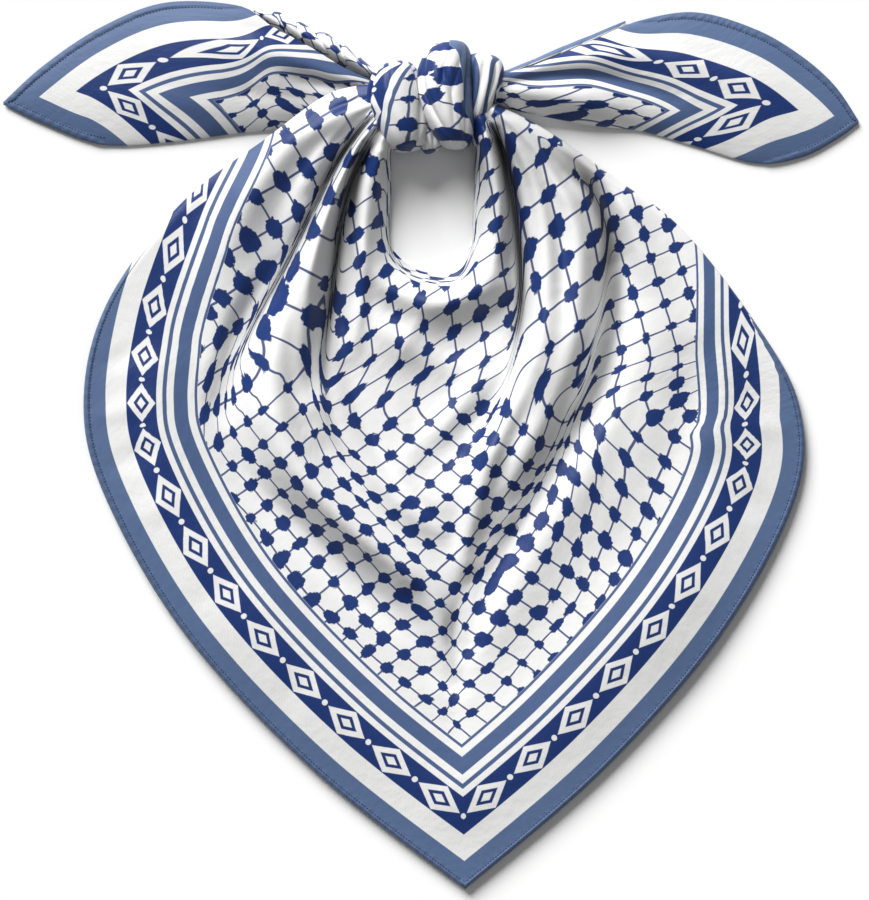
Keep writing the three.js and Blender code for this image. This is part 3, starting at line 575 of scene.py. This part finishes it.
def body_grid(columns, main_rows, edge_offsets):
    """Grid values of s and t, with the last rows at set distances from the outline."""
    s = np.repeat(np.linspace(0, 1, columns + 1)[:, None], main_rows + 1 + len(edge_offsets), axis=1)
    length = body_station(s[:, 0])["length"]
    first = 1 - (edge_offsets[0] + 1.5) / length
    rows = [first * j / main_rows for j in range(main_rows + 1)]
    rows += [1 - offset / length for offset in edge_offsets]
    return s, np.stack(rows, axis=1)


def slopes(value, x, y):
    """How a value on the grid changes for each millimetre across and up in the plan."""
    x_s, x_t = np.gradient(x)
    y_s, y_t = np.gradient(y)
    value_s, value_t = np.gradient(value)
    area = x_s * y_t - x_t * y_s
    area = np.where(np.abs(area) < 1e-4, 1e-4, area)
    return (value_s * y_t - value_t * y_s) / area, (value_t * x_s - value_s * x_t) / area


def slide(value, x, y, slip_x, slip_y):
    """The change of a value on the grid when it is read a short way off in the plan."""
    by_x, by_y = slopes(value, x, y)
    return np.clip(by_x, -STEEPEST, STEEPEST) * slip_x + np.clip(by_y, -STEEPEST, STEEPEST) * slip_y


def side_of(line, x, y):
    """Signed distance from a line, above zero on its left-hand side when it is followed from the knot."""
    line = smooth_line(line, CURVE_STEPS)
    distance, along, length = nearest_on(line, x, y)
    px, py = point_on(line, along)
    back_x, back_y = point_on(line, np.maximum(along - 1.5, 0))
    on_x, on_y = point_on(line, np.minimum(along + 1.5, length))
    turn = (on_x - back_x) * (y - py) - (on_y - back_y) * (x - px)
    return np.sign(turn) * distance


def patched(a, b, x, y):
    """The print on each fold runs on evenly up to the knot, and changes in the pleats between them."""
    past = [0.5 + 0.5 * np.tanh(side_of(line, x, y) / PLEAT_SOFTNESS) for line in PLEAT_LINES]
    past = [np.ones_like(x)] + past + [np.zeros_like(x)]
    slopes_a, slopes_b = slopes(a, x, y), slopes(b, x, y)
    new_a, new_b = a.copy(), b.copy()
    for number, ((start_x, start_y), rise, *ways) in enumerate(PRINT_PATCHES):
        at = np.unravel_index(np.argmin((x - start_x) ** 2 + (y - start_y) ** 2), x.shape)
        local = np.array([[slopes_a[0][at], slopes_a[1][at]], [slopes_b[0][at], slopes_b[1][at]]])
        left, _, right = np.linalg.svd(local)
        even = left @ right
        for row, (scale, turn) in enumerate(ways):
            cosine, sine = math.cos(math.radians(turn)), math.sin(math.radians(turn))
            even[row] = scale * even[row] @ np.array([[cosine, sine], [-sine, cosine]])
        run_a = a[at] + even[0, 0] * (x - x[at]) + even[0, 1] * (y - y[at])
        run_b = b[at] + even[1, 0] * (x - x[at]) + even[1, 1] * (y - y[at])
        climb = np.clip((y - start_y) / rise, 0, 1)
        weight = past[number] * (1 - past[number + 1]) * climb * climb * (3 - 2 * climb)
        new_a += weight * (run_a - a)
        new_b += weight * (run_b - b)
    return new_a, new_b


def painted_pleat_shade(x, y):
    """How dark the painted shade of the closed pleats is at each place, fading towards both ends of every
    pleat.
    """
    shade = np.zeros_like(x)
    for line, (half_width, dark, shares) in zip(PLEAT_LINES, PAINTED_PLEAT_SHADES):
        distance, along, length = nearest_on(smooth_line(line, CURVE_STEPS), x, y)
        depth = dark * np.interp(along / length, shares, (0, 1, 1, 0))
        shade = np.maximum(shade, depth * np.exp(-(distance / half_width) ** 2))
    return shade


def body_print(s, t, points):
    """The print's readings for each point of the body's grid, with the painted shade of the deepest pleats.
    """
    x, y = points[..., 0], points[..., 1]
    from_left, along_left = hem_reading(BODY_LEFT, FOLDED_OVER["left"], x, y)
    from_right, along_right = hem_reading(BODY_RIGHT, FOLDED_OVER["right"], x, y)
    here = body_station(s)
    steps = np.linalg.norm(np.diff(points, axis=1), axis=-1)
    near_axis = np.exp(-((s[:, 1:] - 0.5) / MIDDLE_CALM) ** 2)
    closing = closing_at((x[:, 1:] + x[:, :-1]) / 2, (y[:, 1:] + y[:, :-1]) / 2)
    steps = steps * mix(closing, 1.0, near_axis)
    reach = np.concatenate([np.zeros((len(steps), 1)), np.cumsum(steps, axis=1)], axis=1)
    inward = 1 - reach / reach[:, -1:]
    slant = here["neck_run"] / math.sqrt(2)
    left = s <= 0.5
    edge_a, edge_b = np.where(left, here["tuck"], here["run"]), np.where(left, here["run"], here["tuck"])
    a = mix(edge_a, SQUARE / 2 + slant, inward)
    b = mix(edge_b, SQUARE / 2 - slant, inward)
    slip_x, slip_y = slip_at(x, y)
    a, b = (value + slide(value, x, y, slip_x, slip_y) for value in (a, b))
    a, b = patched(a, b, x, y)
    over_neck = NECK_TURN["cloth"] * np.clip(1 - t * here["length"] / NECK_TURN["width"], 0, 1) ** 2
    a, b = a + over_neck, b + over_neck
    # The cloth reading's third number is the painted shade of the deepest pleats
    return print_readings((a, b, painted_pleat_shade(x, y)), net_reading(a, b), (from_left, from_right, BORDER),
                          (along_left + POINT_RUN, along_right + POINT_RUN, knot_growth(x, y)))


def knot_growth(x, y):
    """How much larger the net's knots are here than on average, as a share."""
    return sum(change * np.exp(-((x - at_x) ** 2 + (y - at_y) ** 2) / reach ** 2)
               for at_x, at_y, reach, change in KNOT_SIZES)


# Meshes

def placed(name, data):
    """A new object in the scene."""
    made = bpy.data.objects.new(name, data)
    bpy.context.scene.collection.objects.link(made)
    return made


def new_piece(name, bm, material, smooth=True):
    """A piece of the scene from a finished mesh, with its material."""
    for face in bm.faces:
        face.smooth = smooth
    mesh = bpy.data.meshes.new(name)
    bm.to_mesh(mesh)
    bm.free()
    mesh.materials.append(material)
    return placed(name, mesh)


def cloth_object(name, points, readings, material, thickness=CLOTH):
    """A sheet of cloth from a grid of points, with the print's readings on it and a thin wall below it."""
    columns, rows = points.shape[0] - 1, points.shape[1] - 1
    bm = bmesh.new()
    bmesh.ops.create_grid(bm, x_segments=columns, y_segments=rows, size=1.0)
    order = []
    for vert in bm.verts:
        i = round((vert.co.x + 1) / 2 * columns)
        j = round((vert.co.y + 1) / 2 * rows)
        order.append(i * (rows + 1) + j)
        vert.co = Vector(points[i, j] * MM)
    bm.normal_update()
    if sum(face.normal.z for face in bm.faces) < 0:
        bmesh.ops.reverse_faces(bm, faces=bm.faces)
    return finish_cloth(name, bm, order, readings, material, thickness)


def finish_cloth(name, bm, order, readings, material, thickness):
    """The piece itself, with its print readings, its material and its wall."""
    piece = new_piece(name, bm, material)
    for key, values in readings.items():
        attribute = piece.data.attributes.new(key, "FLOAT_VECTOR", "POINT")
        attribute.data.foreach_set("vector", values.reshape(-1, 3)[order].astype(np.float32).ravel())
    if thickness:
        wall = piece.modifiers.new("wall", "SOLIDIFY")
        wall.thickness = thickness * MM
        wall.offset = -1
    return piece


# Materials

class Value:
    """A number that changes over a surface, so that shader maths reads as plain expressions."""

    def __init__(self, finish, socket):
        self.finish = finish
        self.socket = socket

    def maths(self, operation, *values, clamp=False):
        return self.finish.maths(operation, *values, clamp=clamp)

    def __add__(self, other):
        return self.maths("ADD", self, other)

    __radd__ = __add__

    def __sub__(self, other):
        return self.maths("SUBTRACT", self, other)

    def __rsub__(self, other):
        return self.maths("SUBTRACT", other, self)

    def __mul__(self, other):
        return self.maths("MULTIPLY", self, other)

    __rmul__ = __mul__

    def __truediv__(self, other):
        return self.maths("DIVIDE", self, other)

    def __abs__(self):
        return self.maths("ABSOLUTE", self)

    def least(self, other):
        return self.maths("MINIMUM", self, other)

    def most(self, other):
        return self.maths("MAXIMUM", self, other)

    def root(self):
        return self.maths("SQRT", self)

    def rounded(self):
        return self.maths("ROUND", self)

    def part(self):
        return self.maths("FRACT", self)

    def wave(self):
        return self.maths("SINE", self)

    def above(self, edge, soft=0.16):
        """0 below an edge and 1 above it, with a short soft step."""
        return self.maths("ADD", (self - edge) / (2 * soft), 0.5, clamp=True)

    def between(self, low, high, soft=0.16):
        return self.above(low, soft) * (1 - self.above(high, soft))


class Finish:
    """A material and its nodes."""

    def __init__(self, name):
        self.material = bpy.data.materials.new(name)
        self.material.use_nodes = True
        self.tree = self.material.node_tree
        self.shader = self.tree.nodes["Principled BSDF"]

    def node(self, kind, settings=None, inputs=None):
        made = self.tree.nodes.new(kind)
        for key, value in (settings or {}).items():
            setattr(made, key, value)
        self.fill(made, inputs or {})
        return made

    def fill(self, node, inputs):
        for key, value in inputs.items():
            self.set(node.inputs[key], value)

    def surface(self, inputs):
        """The surface's colour, which for the printed cloth holds painted shade, its gloss and relief."""
        self.fill(self.shader, inputs)

    def set(self, socket, value):
        if isinstance(value, Value):
            value = value.socket
        if isinstance(value, bpy.types.NodeSocket):
            self.tree.links.new(value, socket)
        else:
            socket.default_value = value

    def maths(self, operation, *values, clamp=False):
        inputs = dict(enumerate(values))
        made = self.node("ShaderNodeMath", {"operation": operation, "use_clamp": clamp}, inputs)
        return Value(self, made.outputs[0])

    def reading(self, name):
        """The three numbers of one of the piece's own attributes, and the whole vector."""
        source = self.node("ShaderNodeAttribute", {"attribute_name": name})
        split = self.node("ShaderNodeSeparateXYZ", None, {0: source.outputs["Vector"]})
        return [Value(self, split.outputs[k]) for k in range(3)], source.outputs["Vector"]

    def noise(self, vector, scale, detail=2.0):
        made = self.node("ShaderNodeTexNoise", None, {"Vector": vector, "Scale": scale, "Detail": detail})
        return Value(self, made.outputs[0])

    def blend(self, below, above, factor, kind="MIX"):
        made = self.node("ShaderNodeMix", {"data_type": "RGBA", "blend_type": kind})
        self.set(made.inputs[0], factor)
        self.set(made.inputs[6], below)
        self.set(made.inputs[7], above)
        return made.outputs[2]


def net_mask(finish, net, net_vector, growth):
    """The fishnet: thin lines both ways, with a ragged knot where they cross."""
    column, row, cell = net
    drift = NET_CELL["sway"] * (finish.noise(net_vector, 0.9) - 0.5)
    sway = NET_CELL["sway"] * (finish.noise(net_vector, 1.3) - 0.5)
    column, row = column + drift, row + sway
    off_column = abs(column - column.rounded()) * cell
    off_row = abs(row - row.rounded()) * cell
    ragged = finish.noise(net_vector, 6.0, 3.0) - 0.5
    uneven = finish.noise(net_vector, 0.62, 0.0) - 0.5
    size = cell * (NET_CELL["knot"] + NET_CELL["vary"] * uneven) * (1 + growth)
    squash = NET_CELL["squash"] * (finish.noise(net_vector, 0.75, 0.0) - 0.5)
    long_way, short_way = off_column * (1 + squash), off_row * (1 - squash)
    distance = (long_way * long_way + short_way * short_way).root()
    knots = 1 - (distance - size - ragged * cell * NET_CELL["ragged"]).above(0.0, 0.22)
    thin = 1 - off_column.least(off_row).above(NET_CELL["line"], 0.14)
    return knots.most(thin * 0.92)


def lozenge_mask(along, hem):
    """White lozenges with a navy heart and a dot between each two, down the middle of the navy band."""
    pitch = LOZENGE["pitch"]
    offset = abs(((along + LOZENGE["start"]) / pitch).part() - 0.5) * pitch
    across = abs(hem - LOZENGE["middle"])
    shape = offset / LOZENGE["long"] + across / LOZENGE["wide"]
    outer = 1 - shape.above(1.0, 0.03)
    heart = (1 - shape.above(HEARTS[1], 0.03)) * shape.above(HEARTS[0], 0.03)
    between = pitch / 2 - offset
    dot = 1 - (between * between + across * across).root().above(LOZENGE["dot"])
    return (outer - heart).most(dot)


def printed_cloth(name):
    """Satin twill: white ground, navy net, steel and navy border, fine diagonal weave, and painted shade in
    the deepest pleats and over the rolled hem.
    """
    finish = Finish(name)
    net, net_vector = finish.reading("net")
    hems, _ = finish.reading("hems")
    along, _ = finish.reading("along")
    cloth, cloth_vector = finish.reading("cloth")
    hem = hems[0].least(hems[1])
    left_nearer = (hems[1] - hems[0]).above(0.0, 0.01)
    run = along[0] * left_nearer + along[1] * (1 - left_nearer)
    inside = (hem - hems[2]).above(0.0)
    border = 1 - inside
    steel = (1 - hem.above(STEEL_HEM)).most(hem.between(*THIN_STEEL)).most(hem.between(*WIDE_STEEL))
    steel = steel.most(hem.between(*LAST_STEEL)) * border
    navy_band = hem.between(WHITE_BAND, NAVY_BAND) * (1 - lozenge_mask(run, hem)) * border
    navy = navy_band.most(net_mask(finish, net, net_vector, along[2]) * inside)
    steel_ink = finish.blend(STEEL, NAVY, INNER_STEEL_DARKER * hem.above(NAVY_BAND))
    colour = finish.blend(WHITE, steel_ink, steel)
    colour = finish.blend(colour, NAVY, navy)

    # The weave's diagonal lines, the yarns' unevenness, the slight fade of the print, and painted shade over
    # the rolled hem and in the deepest pleats
    twill = ((cloth[0] - cloth[1]) * (2 * math.pi / TWILL_PITCH)).wave()
    yarns = finish.noise(cloth_vector, 0.9, 2.0)
    cloudy = finish.noise(cloth_vector, 0.022, 3.0)
    # Painted shade: the band of the rolled hem is made darker in the tone below
    rolled = 1 - hem.above(HEM_WIDTH, 0.25)
    tone = 0.955 + 0.022 * twill + 0.045 * (yarns - 0.5) + 0.09 * (cloudy - 0.5) - 0.14 * rolled
    # Painted shade: the deepest pleats are darkened by the third number of the cloth reading
    tone = tone * (1 - cloth[2])
    shade = finish.node("ShaderNodeCombineColor", None, {0: tone, 1: tone, 2: tone}).outputs[0]
    colour = finish.blend(colour, shade, 1.0, "MULTIPLY")

    # Printed areas are a little glossier, and the hem's pulled edge a little duller
    pulled = 1 - hem.above(HEM_WIDTH + 1.0, 0.6)
    roughness = 0.47 + 0.08 * (yarns - 0.5) + 0.05 * (1 - navy) + 0.06 * pulled

    # Weave, faint wrinkles, and the small puckers that the hem's stitches pull
    wrinkles = finish.noise(cloth_vector, 0.16, 2.0)
    puckers = (run * (2 * math.pi / PUCKER_PITCH) + 3.0 * finish.noise(cloth_vector, 0.08)).wave() * pulled
    relief = 0.05 * twill + 0.07 * yarns + 0.9 * wrinkles + 0.22 * puckers
    bump = finish.node("ShaderNodeBump", None, {"Height": relief, "Strength": 0.5, "Distance": 0.0006})
    finish.surface({"Base Color": colour, "Roughness": roughness, "Normal": bump.outputs[0],
                    "Specular IOR Level": 0.34, "Sheen Weight": 0.05, "Sheen Roughness": 0.4})
    return finish.material


def thread_material():
    """Dark blue sewing thread with a little fuzz."""
    finish = Finish("hem_thread")
    place = finish.node("ShaderNodeTexCoord").outputs["Object"]
    fuzz = finish.noise(place, 900.0)
    finish.surface({"Base Color": finish.blend(THREAD, STEEL, 0.22 * fuzz),
                    "Roughness": 0.62 + 0.2 * (fuzz - 0.5)})
    return finish.material


def floor_material():
    """Plain pale board."""
    finish = Finish("pale_floor")
    place = finish.node("ShaderNodeTexCoord").outputs["Object"]
    cloudy = finish.noise(place, 3.0)
    finish.surface({"Base Color": finish.blend(FLOOR, FLOOR_CLOUDS, 0.3 * cloudy),
                    "Roughness": 0.9, "Specular IOR Level": 0.1})
    return finish.material


FRONT_MATERIAL = printed_cloth("cloth_front")
BACK_MATERIAL = printed_cloth("cloth_back")
TAIL_MATERIAL = printed_cloth("cloth_tails")
KNOT_MATERIAL = printed_cloth("cloth_knot")
THREAD_MATERIAL = thread_material()


def dress(piece, slot, *nodes):
    """A finished piece rides on the one body and stands for its solids, which are hidden; its slot is not
    used.
    """
    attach(piece, "root")
    if nodes:
        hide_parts(*nodes)
    return piece


# The front and rear layers

# Rows of the mesh near the outline, in millimetres from it, close together over the rolled hem
EDGE_OFFSETS = (6.0, 4.6, 3.9, 3.45, 3.1, 2.4, 1.7, 1.0, 0.4, 0.0)


def make_front():
    """The front layer with all its folds."""
    s, t = body_grid(columns=264, main_rows=142, edge_offsets=EDGE_OFFSETS)
    points = np.stack(body_surface(s, t), axis=-1)
    piece = cloth_object("front_cloth", points, body_print(s, t, points), FRONT_MATERIAL)
    return dress(piece, "cloth_front", "front_panel")


def make_back():
    """The rear layer, flat on the floor inside the outline of the front one."""
    start, behind_edge = 0.13, 2.5
    columns, rows = 181, 61
    s = np.repeat(np.linspace(start, 1 - start, columns)[:, None], rows, axis=1)
    here = body_station(s)
    share = np.linspace(0, 1, rows)[None, :]
    t = mix(-here["reach"] / here["length"], 1 - behind_edge / here["length"], share)
    x, y = mix(here["neck_x"], here["x"], t), mix(here["neck_y"], here["y"], t)
    points = np.stack([x, y, np.full_like(x, BACK_LAYER)], axis=-1)
    piece = cloth_object("back_cloth", points, body_print(s, t, points), BACK_MATERIAL, thickness=BACK_LAYER)
    return dress(piece, "cloth_back", "back_panel")


# The tails

def tail_point(half, folds, u, v):
    """Place and print readings on a tail, at u from the knot to the tip and v from upper to lower edge."""
    here = read_at(half, u)
    x, y = mix(here["x"], here["low_x"], v), mix(here["y"], here["low_y"], v)
    width = width_at(here)
    arch = np.maximum(here["crown"], 0) * (4 * v * (1 - v)) ** TAIL_ARCH_POWER
    window = quarter_round(v * width, TAIL_EDGE_RADIUS) * quarter_round((1 - v) * width, TAIL_EDGE_RADIUS)
    top = mix(here["edge"], here["low_edge"], v) + arch + folds_at(folds, x, y) * window
    upper = np.maximum(here["upper"], 0) + v * width * here["upper_scale"]
    lower = np.maximum(here["lower"], 0) + (1 - v) * width * here["lower_scale"]
    hem = hem_profile(np.minimum(upper, lower)) * (np.minimum(upper, lower) < HEM_WIDTH)
    z = np.maximum(top, WALL) + HEM_RAISE * hem
    return np.stack([x, y, z], axis=-1), upper, lower


def tail_rows(width, main_rows):
    """Shares across the tail, close together at both hems."""
    offsets = np.array((0.0, 0.4, 1.0, 1.7, 2.4, 3.1, 3.5, 4.2))
    most = np.minimum(offsets / np.maximum(width, 1e-6)[:, None], np.linspace(0, 0.3, len(offsets)))
    inner = np.linspace(0, 1, main_rows + 2)[1:-1]
    middle = mix(most[:, -1:], 1 - most[:, -1:], inner[None, :])
    return np.concatenate([most, middle, 1 - most[:, ::-1]], axis=1)


def make_tail(name, half, folds, node):
    """One corner past the knot."""
    u_line = np.linspace(0, 1, 121)
    v = tail_rows(width_at(read_at(half, u_line)), main_rows=44)
    u = np.repeat(u_line[:, None], v.shape[1], axis=1)
    points, upper, lower = tail_point(half, folds, u, v)
    readings = print_readings((upper, lower, 0), net_reading(upper, lower), (upper, lower, BORDER),
                              (lower, upper, 0))
    piece = cloth_object(name, points, readings, TAIL_MATERIAL)
    return dress(piece, "cloth_tails", node)


def make_roll(name, half, node, look):
    """The layer rolled up behind a tail, twisted into slanting folds."""
    columns, rows = 150, 34
    u = np.repeat(np.linspace(0, 1, columns + 1)[:, None], rows + 1, axis=1)
    v = np.repeat(np.linspace(0, 1, rows + 1)[None, :], columns + 1, axis=0)
    here = read_at(half, u)
    length = math.hypot(half["x"][-1] - half["x"][0], half["y"][-1] - half["y"][0])
    phase = u * length / look["twist"] + look["slant"] * v + 0.12 * np.sin(5.1 * u * math.pi)
    fold = phase - np.floor(phase)
    leaf = np.sin(np.pi * fold ** 0.75) ** 0.8
    fade = np.clip(7 * u * (1 - u), 0, 1)
    bulge = look["bulge"] * leaf * fade * (1 - v) ** 2 / np.maximum(width_at(here), 2.0)
    x, y = mix(here["x"], here["low_x"], v - bulge), mix(here["y"], here["low_y"], v - bulge)
    rise = np.sin(np.pi * np.minimum(v / 0.8, 1)) ** 0.7
    border = mix(WALL, here["low_edge"], v)
    top = mix(border, here["crest"], rise) + look["depth"] * (leaf - 0.45) * rise * fade
    points = np.stack([x, y, np.maximum(top, WALL)], axis=-1)
    along, across = u * length, v * look["across"]
    column, row = turned(along, across, look["turn"])
    shift = 0.37 * np.floor(phase)
    net = (column / look["cell"] + shift, row / look["cell"] + 0.61 * shift, look["cell"])
    hems = (look["hem"] + look["hem_across"] * v, NO_HEM, BORDER)
    readings = print_readings((ROLL_PLACE + across, ROLL_PLACE + along, 0), net, hems, (along, along, 0))
    piece = cloth_object(name, points, readings, TAIL_MATERIAL)
    return dress(piece, "cloth_tails", node)


# The knot

def fuller(value):
    """A sine or cosine bent so that the section of a lobe is a little fuller than an ellipse."""
    return np.sign(value) * np.abs(value) ** (2 / LOBE_SECTION)


def lobe_point(spec, u, angle, grow=0.0):
    """A place on a lobe: u from its upper tuck to its lower one, angle round it, 90 degrees at the crest."""
    line = np.array(spec["line"], float)
    run_x, run_y = line[2] - line[0]
    run = math.hypot(run_x, run_y)
    size = (1 - np.abs(2 * u - 1) ** LOBE_PLAN) ** (1 / LOBE_PLAN)
    along = mix(-grow / run, 1 + grow / run, u)
    past = along - np.clip(along, 0, 1)
    body = np.sin(np.pi * u) ** 0.5
    creased = np.ones_like(u)
    for degrees, depth, half_width, lean, bow in spec["creases"]:
        off = np.degrees(angle) - degrees - lean * (2 * u - 1) - bow * (1 - (2 * u - 1) ** 2)
        creased = creased - depth * body * np.exp(-(off / half_width) ** 2)
    half = at_thirds(spec["half"], along) + grow
    side = fuller(np.cos(angle)) * half * size * creased
    up = fuller(np.sin(angle)) * (spec["rise"] + grow) * size * creased
    x = catmull(line[:, 0], along) + past * run_x - run_y / run * side
    y = catmull(line[:, 1], along) + past * run_y + run_x / run * side
    return x, y, spec["middle"] + up


def lobe_readings(key, u, angle):
    """The print on a lobe, read from the places round it and along it."""
    spec, look = LOBES[key], LOBE_PRINT[key]
    length = math.hypot(*(np.array(spec["line"][2]) - np.array(spec["line"][0])))
    degrees = np.degrees(np.where(angle < -math.pi / 2, angle + 2 * math.pi, angle))
    across = (degrees - 90) / 90 * 1.35 * np.mean(spec["half"]) * np.sin(np.pi * np.clip(u, 0.12, 0.88))
    along = (u - 0.5) * length * 1.45
    column, row = turned(across, along, look["turn"])
    net = (column / look["cell"] + look["start"][0], row / look["cell"] + look["start"][1], look["cell"])
    near_top = np.clip((0.45 - u) / 0.35, 0, 1) ** 1.5
    hem = look["hem"] + look["hem_across"] * across + look["hem_down"] * along - look["hem_top"] * near_top
    run = LOBE_PLACE + along
    return print_readings((LOBE_PLACE + across, run, 0), net, (np.abs(hem), NO_HEM, look["border"]),
                          (run, run, look["knots"]))


def make_lobe(name, key, node_names, grow=0.0, open_below=None, segments=(120, 90)):
    """One lobe of the knot, shaped from a sphere whose poles are its two tucks."""
    bm = bmesh.new()
    bmesh.ops.create_uvsphere(bm, u_segments=segments[0], v_segments=segments[1], radius=1.0)
    places = np.array([vert.co[:] for vert in bm.verts])
    u = 0.5 - 0.5 * np.cos(np.arccos(places[:, 2].clip(-1, 1)))
    angle = np.arctan2(places[:, 1], places[:, 0])
    x, y, z = lobe_point(LOBES[key], u, angle, grow)
    for vert, place in zip(bm.verts, np.stack([x, y, np.maximum(z, 0.0)], axis=-1) * MM):
        vert.co = Vector(place)
    bmesh.ops.recalc_face_normals(bm, faces=bm.faces)
    index = bm.verts.layers.int.new("start")
    for number, vert in enumerate(bm.verts):
        vert[index] = number
    if open_below is not None:
        low = [vert for vert in bm.verts if vert.co.z < open_below * MM]
        bmesh.ops.delete(bm, geom=low, context="VERTS")
    order = [vert[index] for vert in bm.verts]
    bm.verts.layers.int.remove(index)
    thickness = CLOTH if open_below is not None else 0
    piece = finish_cloth(name, bm, order, lobe_readings(key, u, angle), KNOT_MATERIAL, thickness)
    return dress(piece, "cloth_knot", *node_names)


# The stitches of the hem

def stitch_row(bm, places, length=1.25, width=0.30):
    """Short rounded stitches, one between each two places of the list."""
    for start, end in zip(places[:-1], places[1:]):
        direction = Vector(end - start)
        middle = Vector((start + end) / 2)
        turn = direction.to_track_quat("X", "Z").to_matrix().to_4x4()
        jitter = random.uniform(0.88, 1.1)
        sizes = Matrix.Diagonal((length / 2 * jitter, width, width, 1.0))
        place = Matrix.Translation(middle) @ turn @ sizes
        bmesh.ops.create_icosphere(bm, subdivisions=1, radius=1.0, matrix=Matrix.Scale(MM, 4) @ place)


def spaced(path, pitch):
    """Places evenly spaced along a path of points."""
    lengths = lengths_along(path)
    wanted = np.arange(0, lengths[-1], pitch)
    return np.stack([np.interp(wanted, lengths, path[:, k]) for k in range(3)], axis=1)


def make_stitches():
    """Stitches along the hem of the body, of both tails and of the lobe where the hem shows."""
    pitch, inset, proud = 1.75, 3.75, 0.12
    body_rows = ((0.21, 0.4985), (0.5015, 0.74))
    upper_starts, lower_start, tip = (0.53, 0.42), 0.74, 0.985
    lobe_start, lobe_end, lobe_degrees = 0.10, 0.62, 36
    bm = bmesh.new()
    for start, end in body_rows:
        s = np.linspace(start, end, 900)
        t = 1 - inset / body_station(s)["length"]
        x, y, z = body_surface(s, t)
        stitch_row(bm, spaced(np.stack([x, y, z + proud], axis=1), pitch))
    tails = ((TAIL_LEFT, TAIL_LEFT_FOLDS), (TAIL_RIGHT, TAIL_RIGHT_FOLDS))
    for (half, folds), upper_start in zip(tails, upper_starts):
        for upper_hem in (True, False):
            u = np.linspace(upper_start if upper_hem else lower_start, tip, 500)
            here = read_at(half, u)
            scale = here["upper_scale" if upper_hem else "lower_scale"]
            share = np.clip(inset / (width_at(here) * scale), 0, 0.45)
            points, _, _ = tail_point(half, folds, u, share if upper_hem else 1 - share)
            points[:, 2] += proud
            stitch_row(bm, spaced(points, pitch))
    u = np.linspace(lobe_start, lobe_end, 200)
    angle = np.full_like(u, math.radians(lobe_degrees))
    stitch_row(bm, spaced(np.stack(lobe_point(LOBES["right"], u, angle, grow=proud), axis=1), pitch))
    return dress(new_piece("hem_stitches", bm, THREAD_MATERIAL), "cloth_front")


# Floor, light and camera

def make_stage():
    """The floor that the cloth lies on."""
    bm = bmesh.new()
    bmesh.ops.create_grid(bm, x_segments=1, y_segments=1, size=4.0)
    new_piece("floor", bm, floor_material(), smooth=False)


def wide_light(name, towards, strength, width):
    """Even light from one side of the room, as soft as a window of this width in degrees."""
    lamp = bpy.data.lights.new(name, "SUN")
    lamp.energy = strength
    lamp.angle = math.radians(width)
    placed(name, lamp).rotation_euler = Vector(towards).to_track_quat("Z", "Y").to_euler()


def make_light():
    """A wide window above the knot's left, a faint ceiling and a pale room."""
    world = bpy.data.worlds.new("studio")
    world.use_nodes = True
    world.node_tree.nodes["Background"].inputs["Color"].default_value = (1.0, 1.0, 1.0, 1.0)
    world.node_tree.nodes["Background"].inputs["Strength"].default_value = 0.15
    bpy.context.scene.world = world
    bpy.context.scene.view_settings.view_transform = "Standard"
    wide_light("window", (-0.40, 0.78, 0.56), 5.15, 34.0)
    wide_light("ceiling", (0.3, -0.1, 1.0), 0.2, 60.0)


def make_camera():
    """A camera straight above, so far up that the cloth has the size and place of the photograph."""
    frame_width, frame_height, mm_per_pixel = 869, 900, 0.53
    origin_x, origin_y = 431, 446.5
    distance = 2.6
    camera_data = bpy.data.cameras.new("camera")
    camera_data.sensor_fit = "HORIZONTAL"
    camera_data.sensor_width = 36.0
    camera_data.lens = 36.0 * distance / (frame_width * mm_per_pixel * MM)
    camera = placed("camera", camera_data)
    camera.location = ((frame_width / 2 - origin_x) * mm_per_pixel * MM,
                       (origin_y - frame_height / 2) * mm_per_pixel * MM, distance)
    bpy.context.scene.camera = camera


make_camera()
make_stage()
make_light()

back = make_back()
front = make_front()
left_tail = make_tail("left_tail", TAIL_LEFT, TAIL_LEFT_FOLDS, "tail_left")
right_tail = make_tail("right_tail", TAIL_RIGHT, TAIL_RIGHT_FOLDS, "tail_right")
left_roll = make_roll("left_tail_roll", ROLL_LEFT, "tail_left_roll", ROLL_LOOKS["left"])
right_roll = make_roll("right_tail_roll", ROLL_RIGHT, "tail_right_roll", ROLL_LOOKS["right"])

left_wrap = make_lobe("knot_left_cloth", "left", ["knot_left_wrap"], open_below=4.0)
right_wrap = make_lobe("knot_right_cloth", "right", ["knot_right_wrap"], open_below=4.0)
strand = make_lobe("knot_strand_cloth", "strand", ["knot_back_strand"])
under_fold = make_lobe("knot_under_cloth", "under", ["knot_under_fold"])
core_left = make_lobe("knot_core_left", "left", ["knot_core"], grow=-2.0, segments=(40, 28))
core_right = make_lobe("knot_core_right", "right", [], grow=-2.0, segments=(40, 28))
stitches = make_stitches()
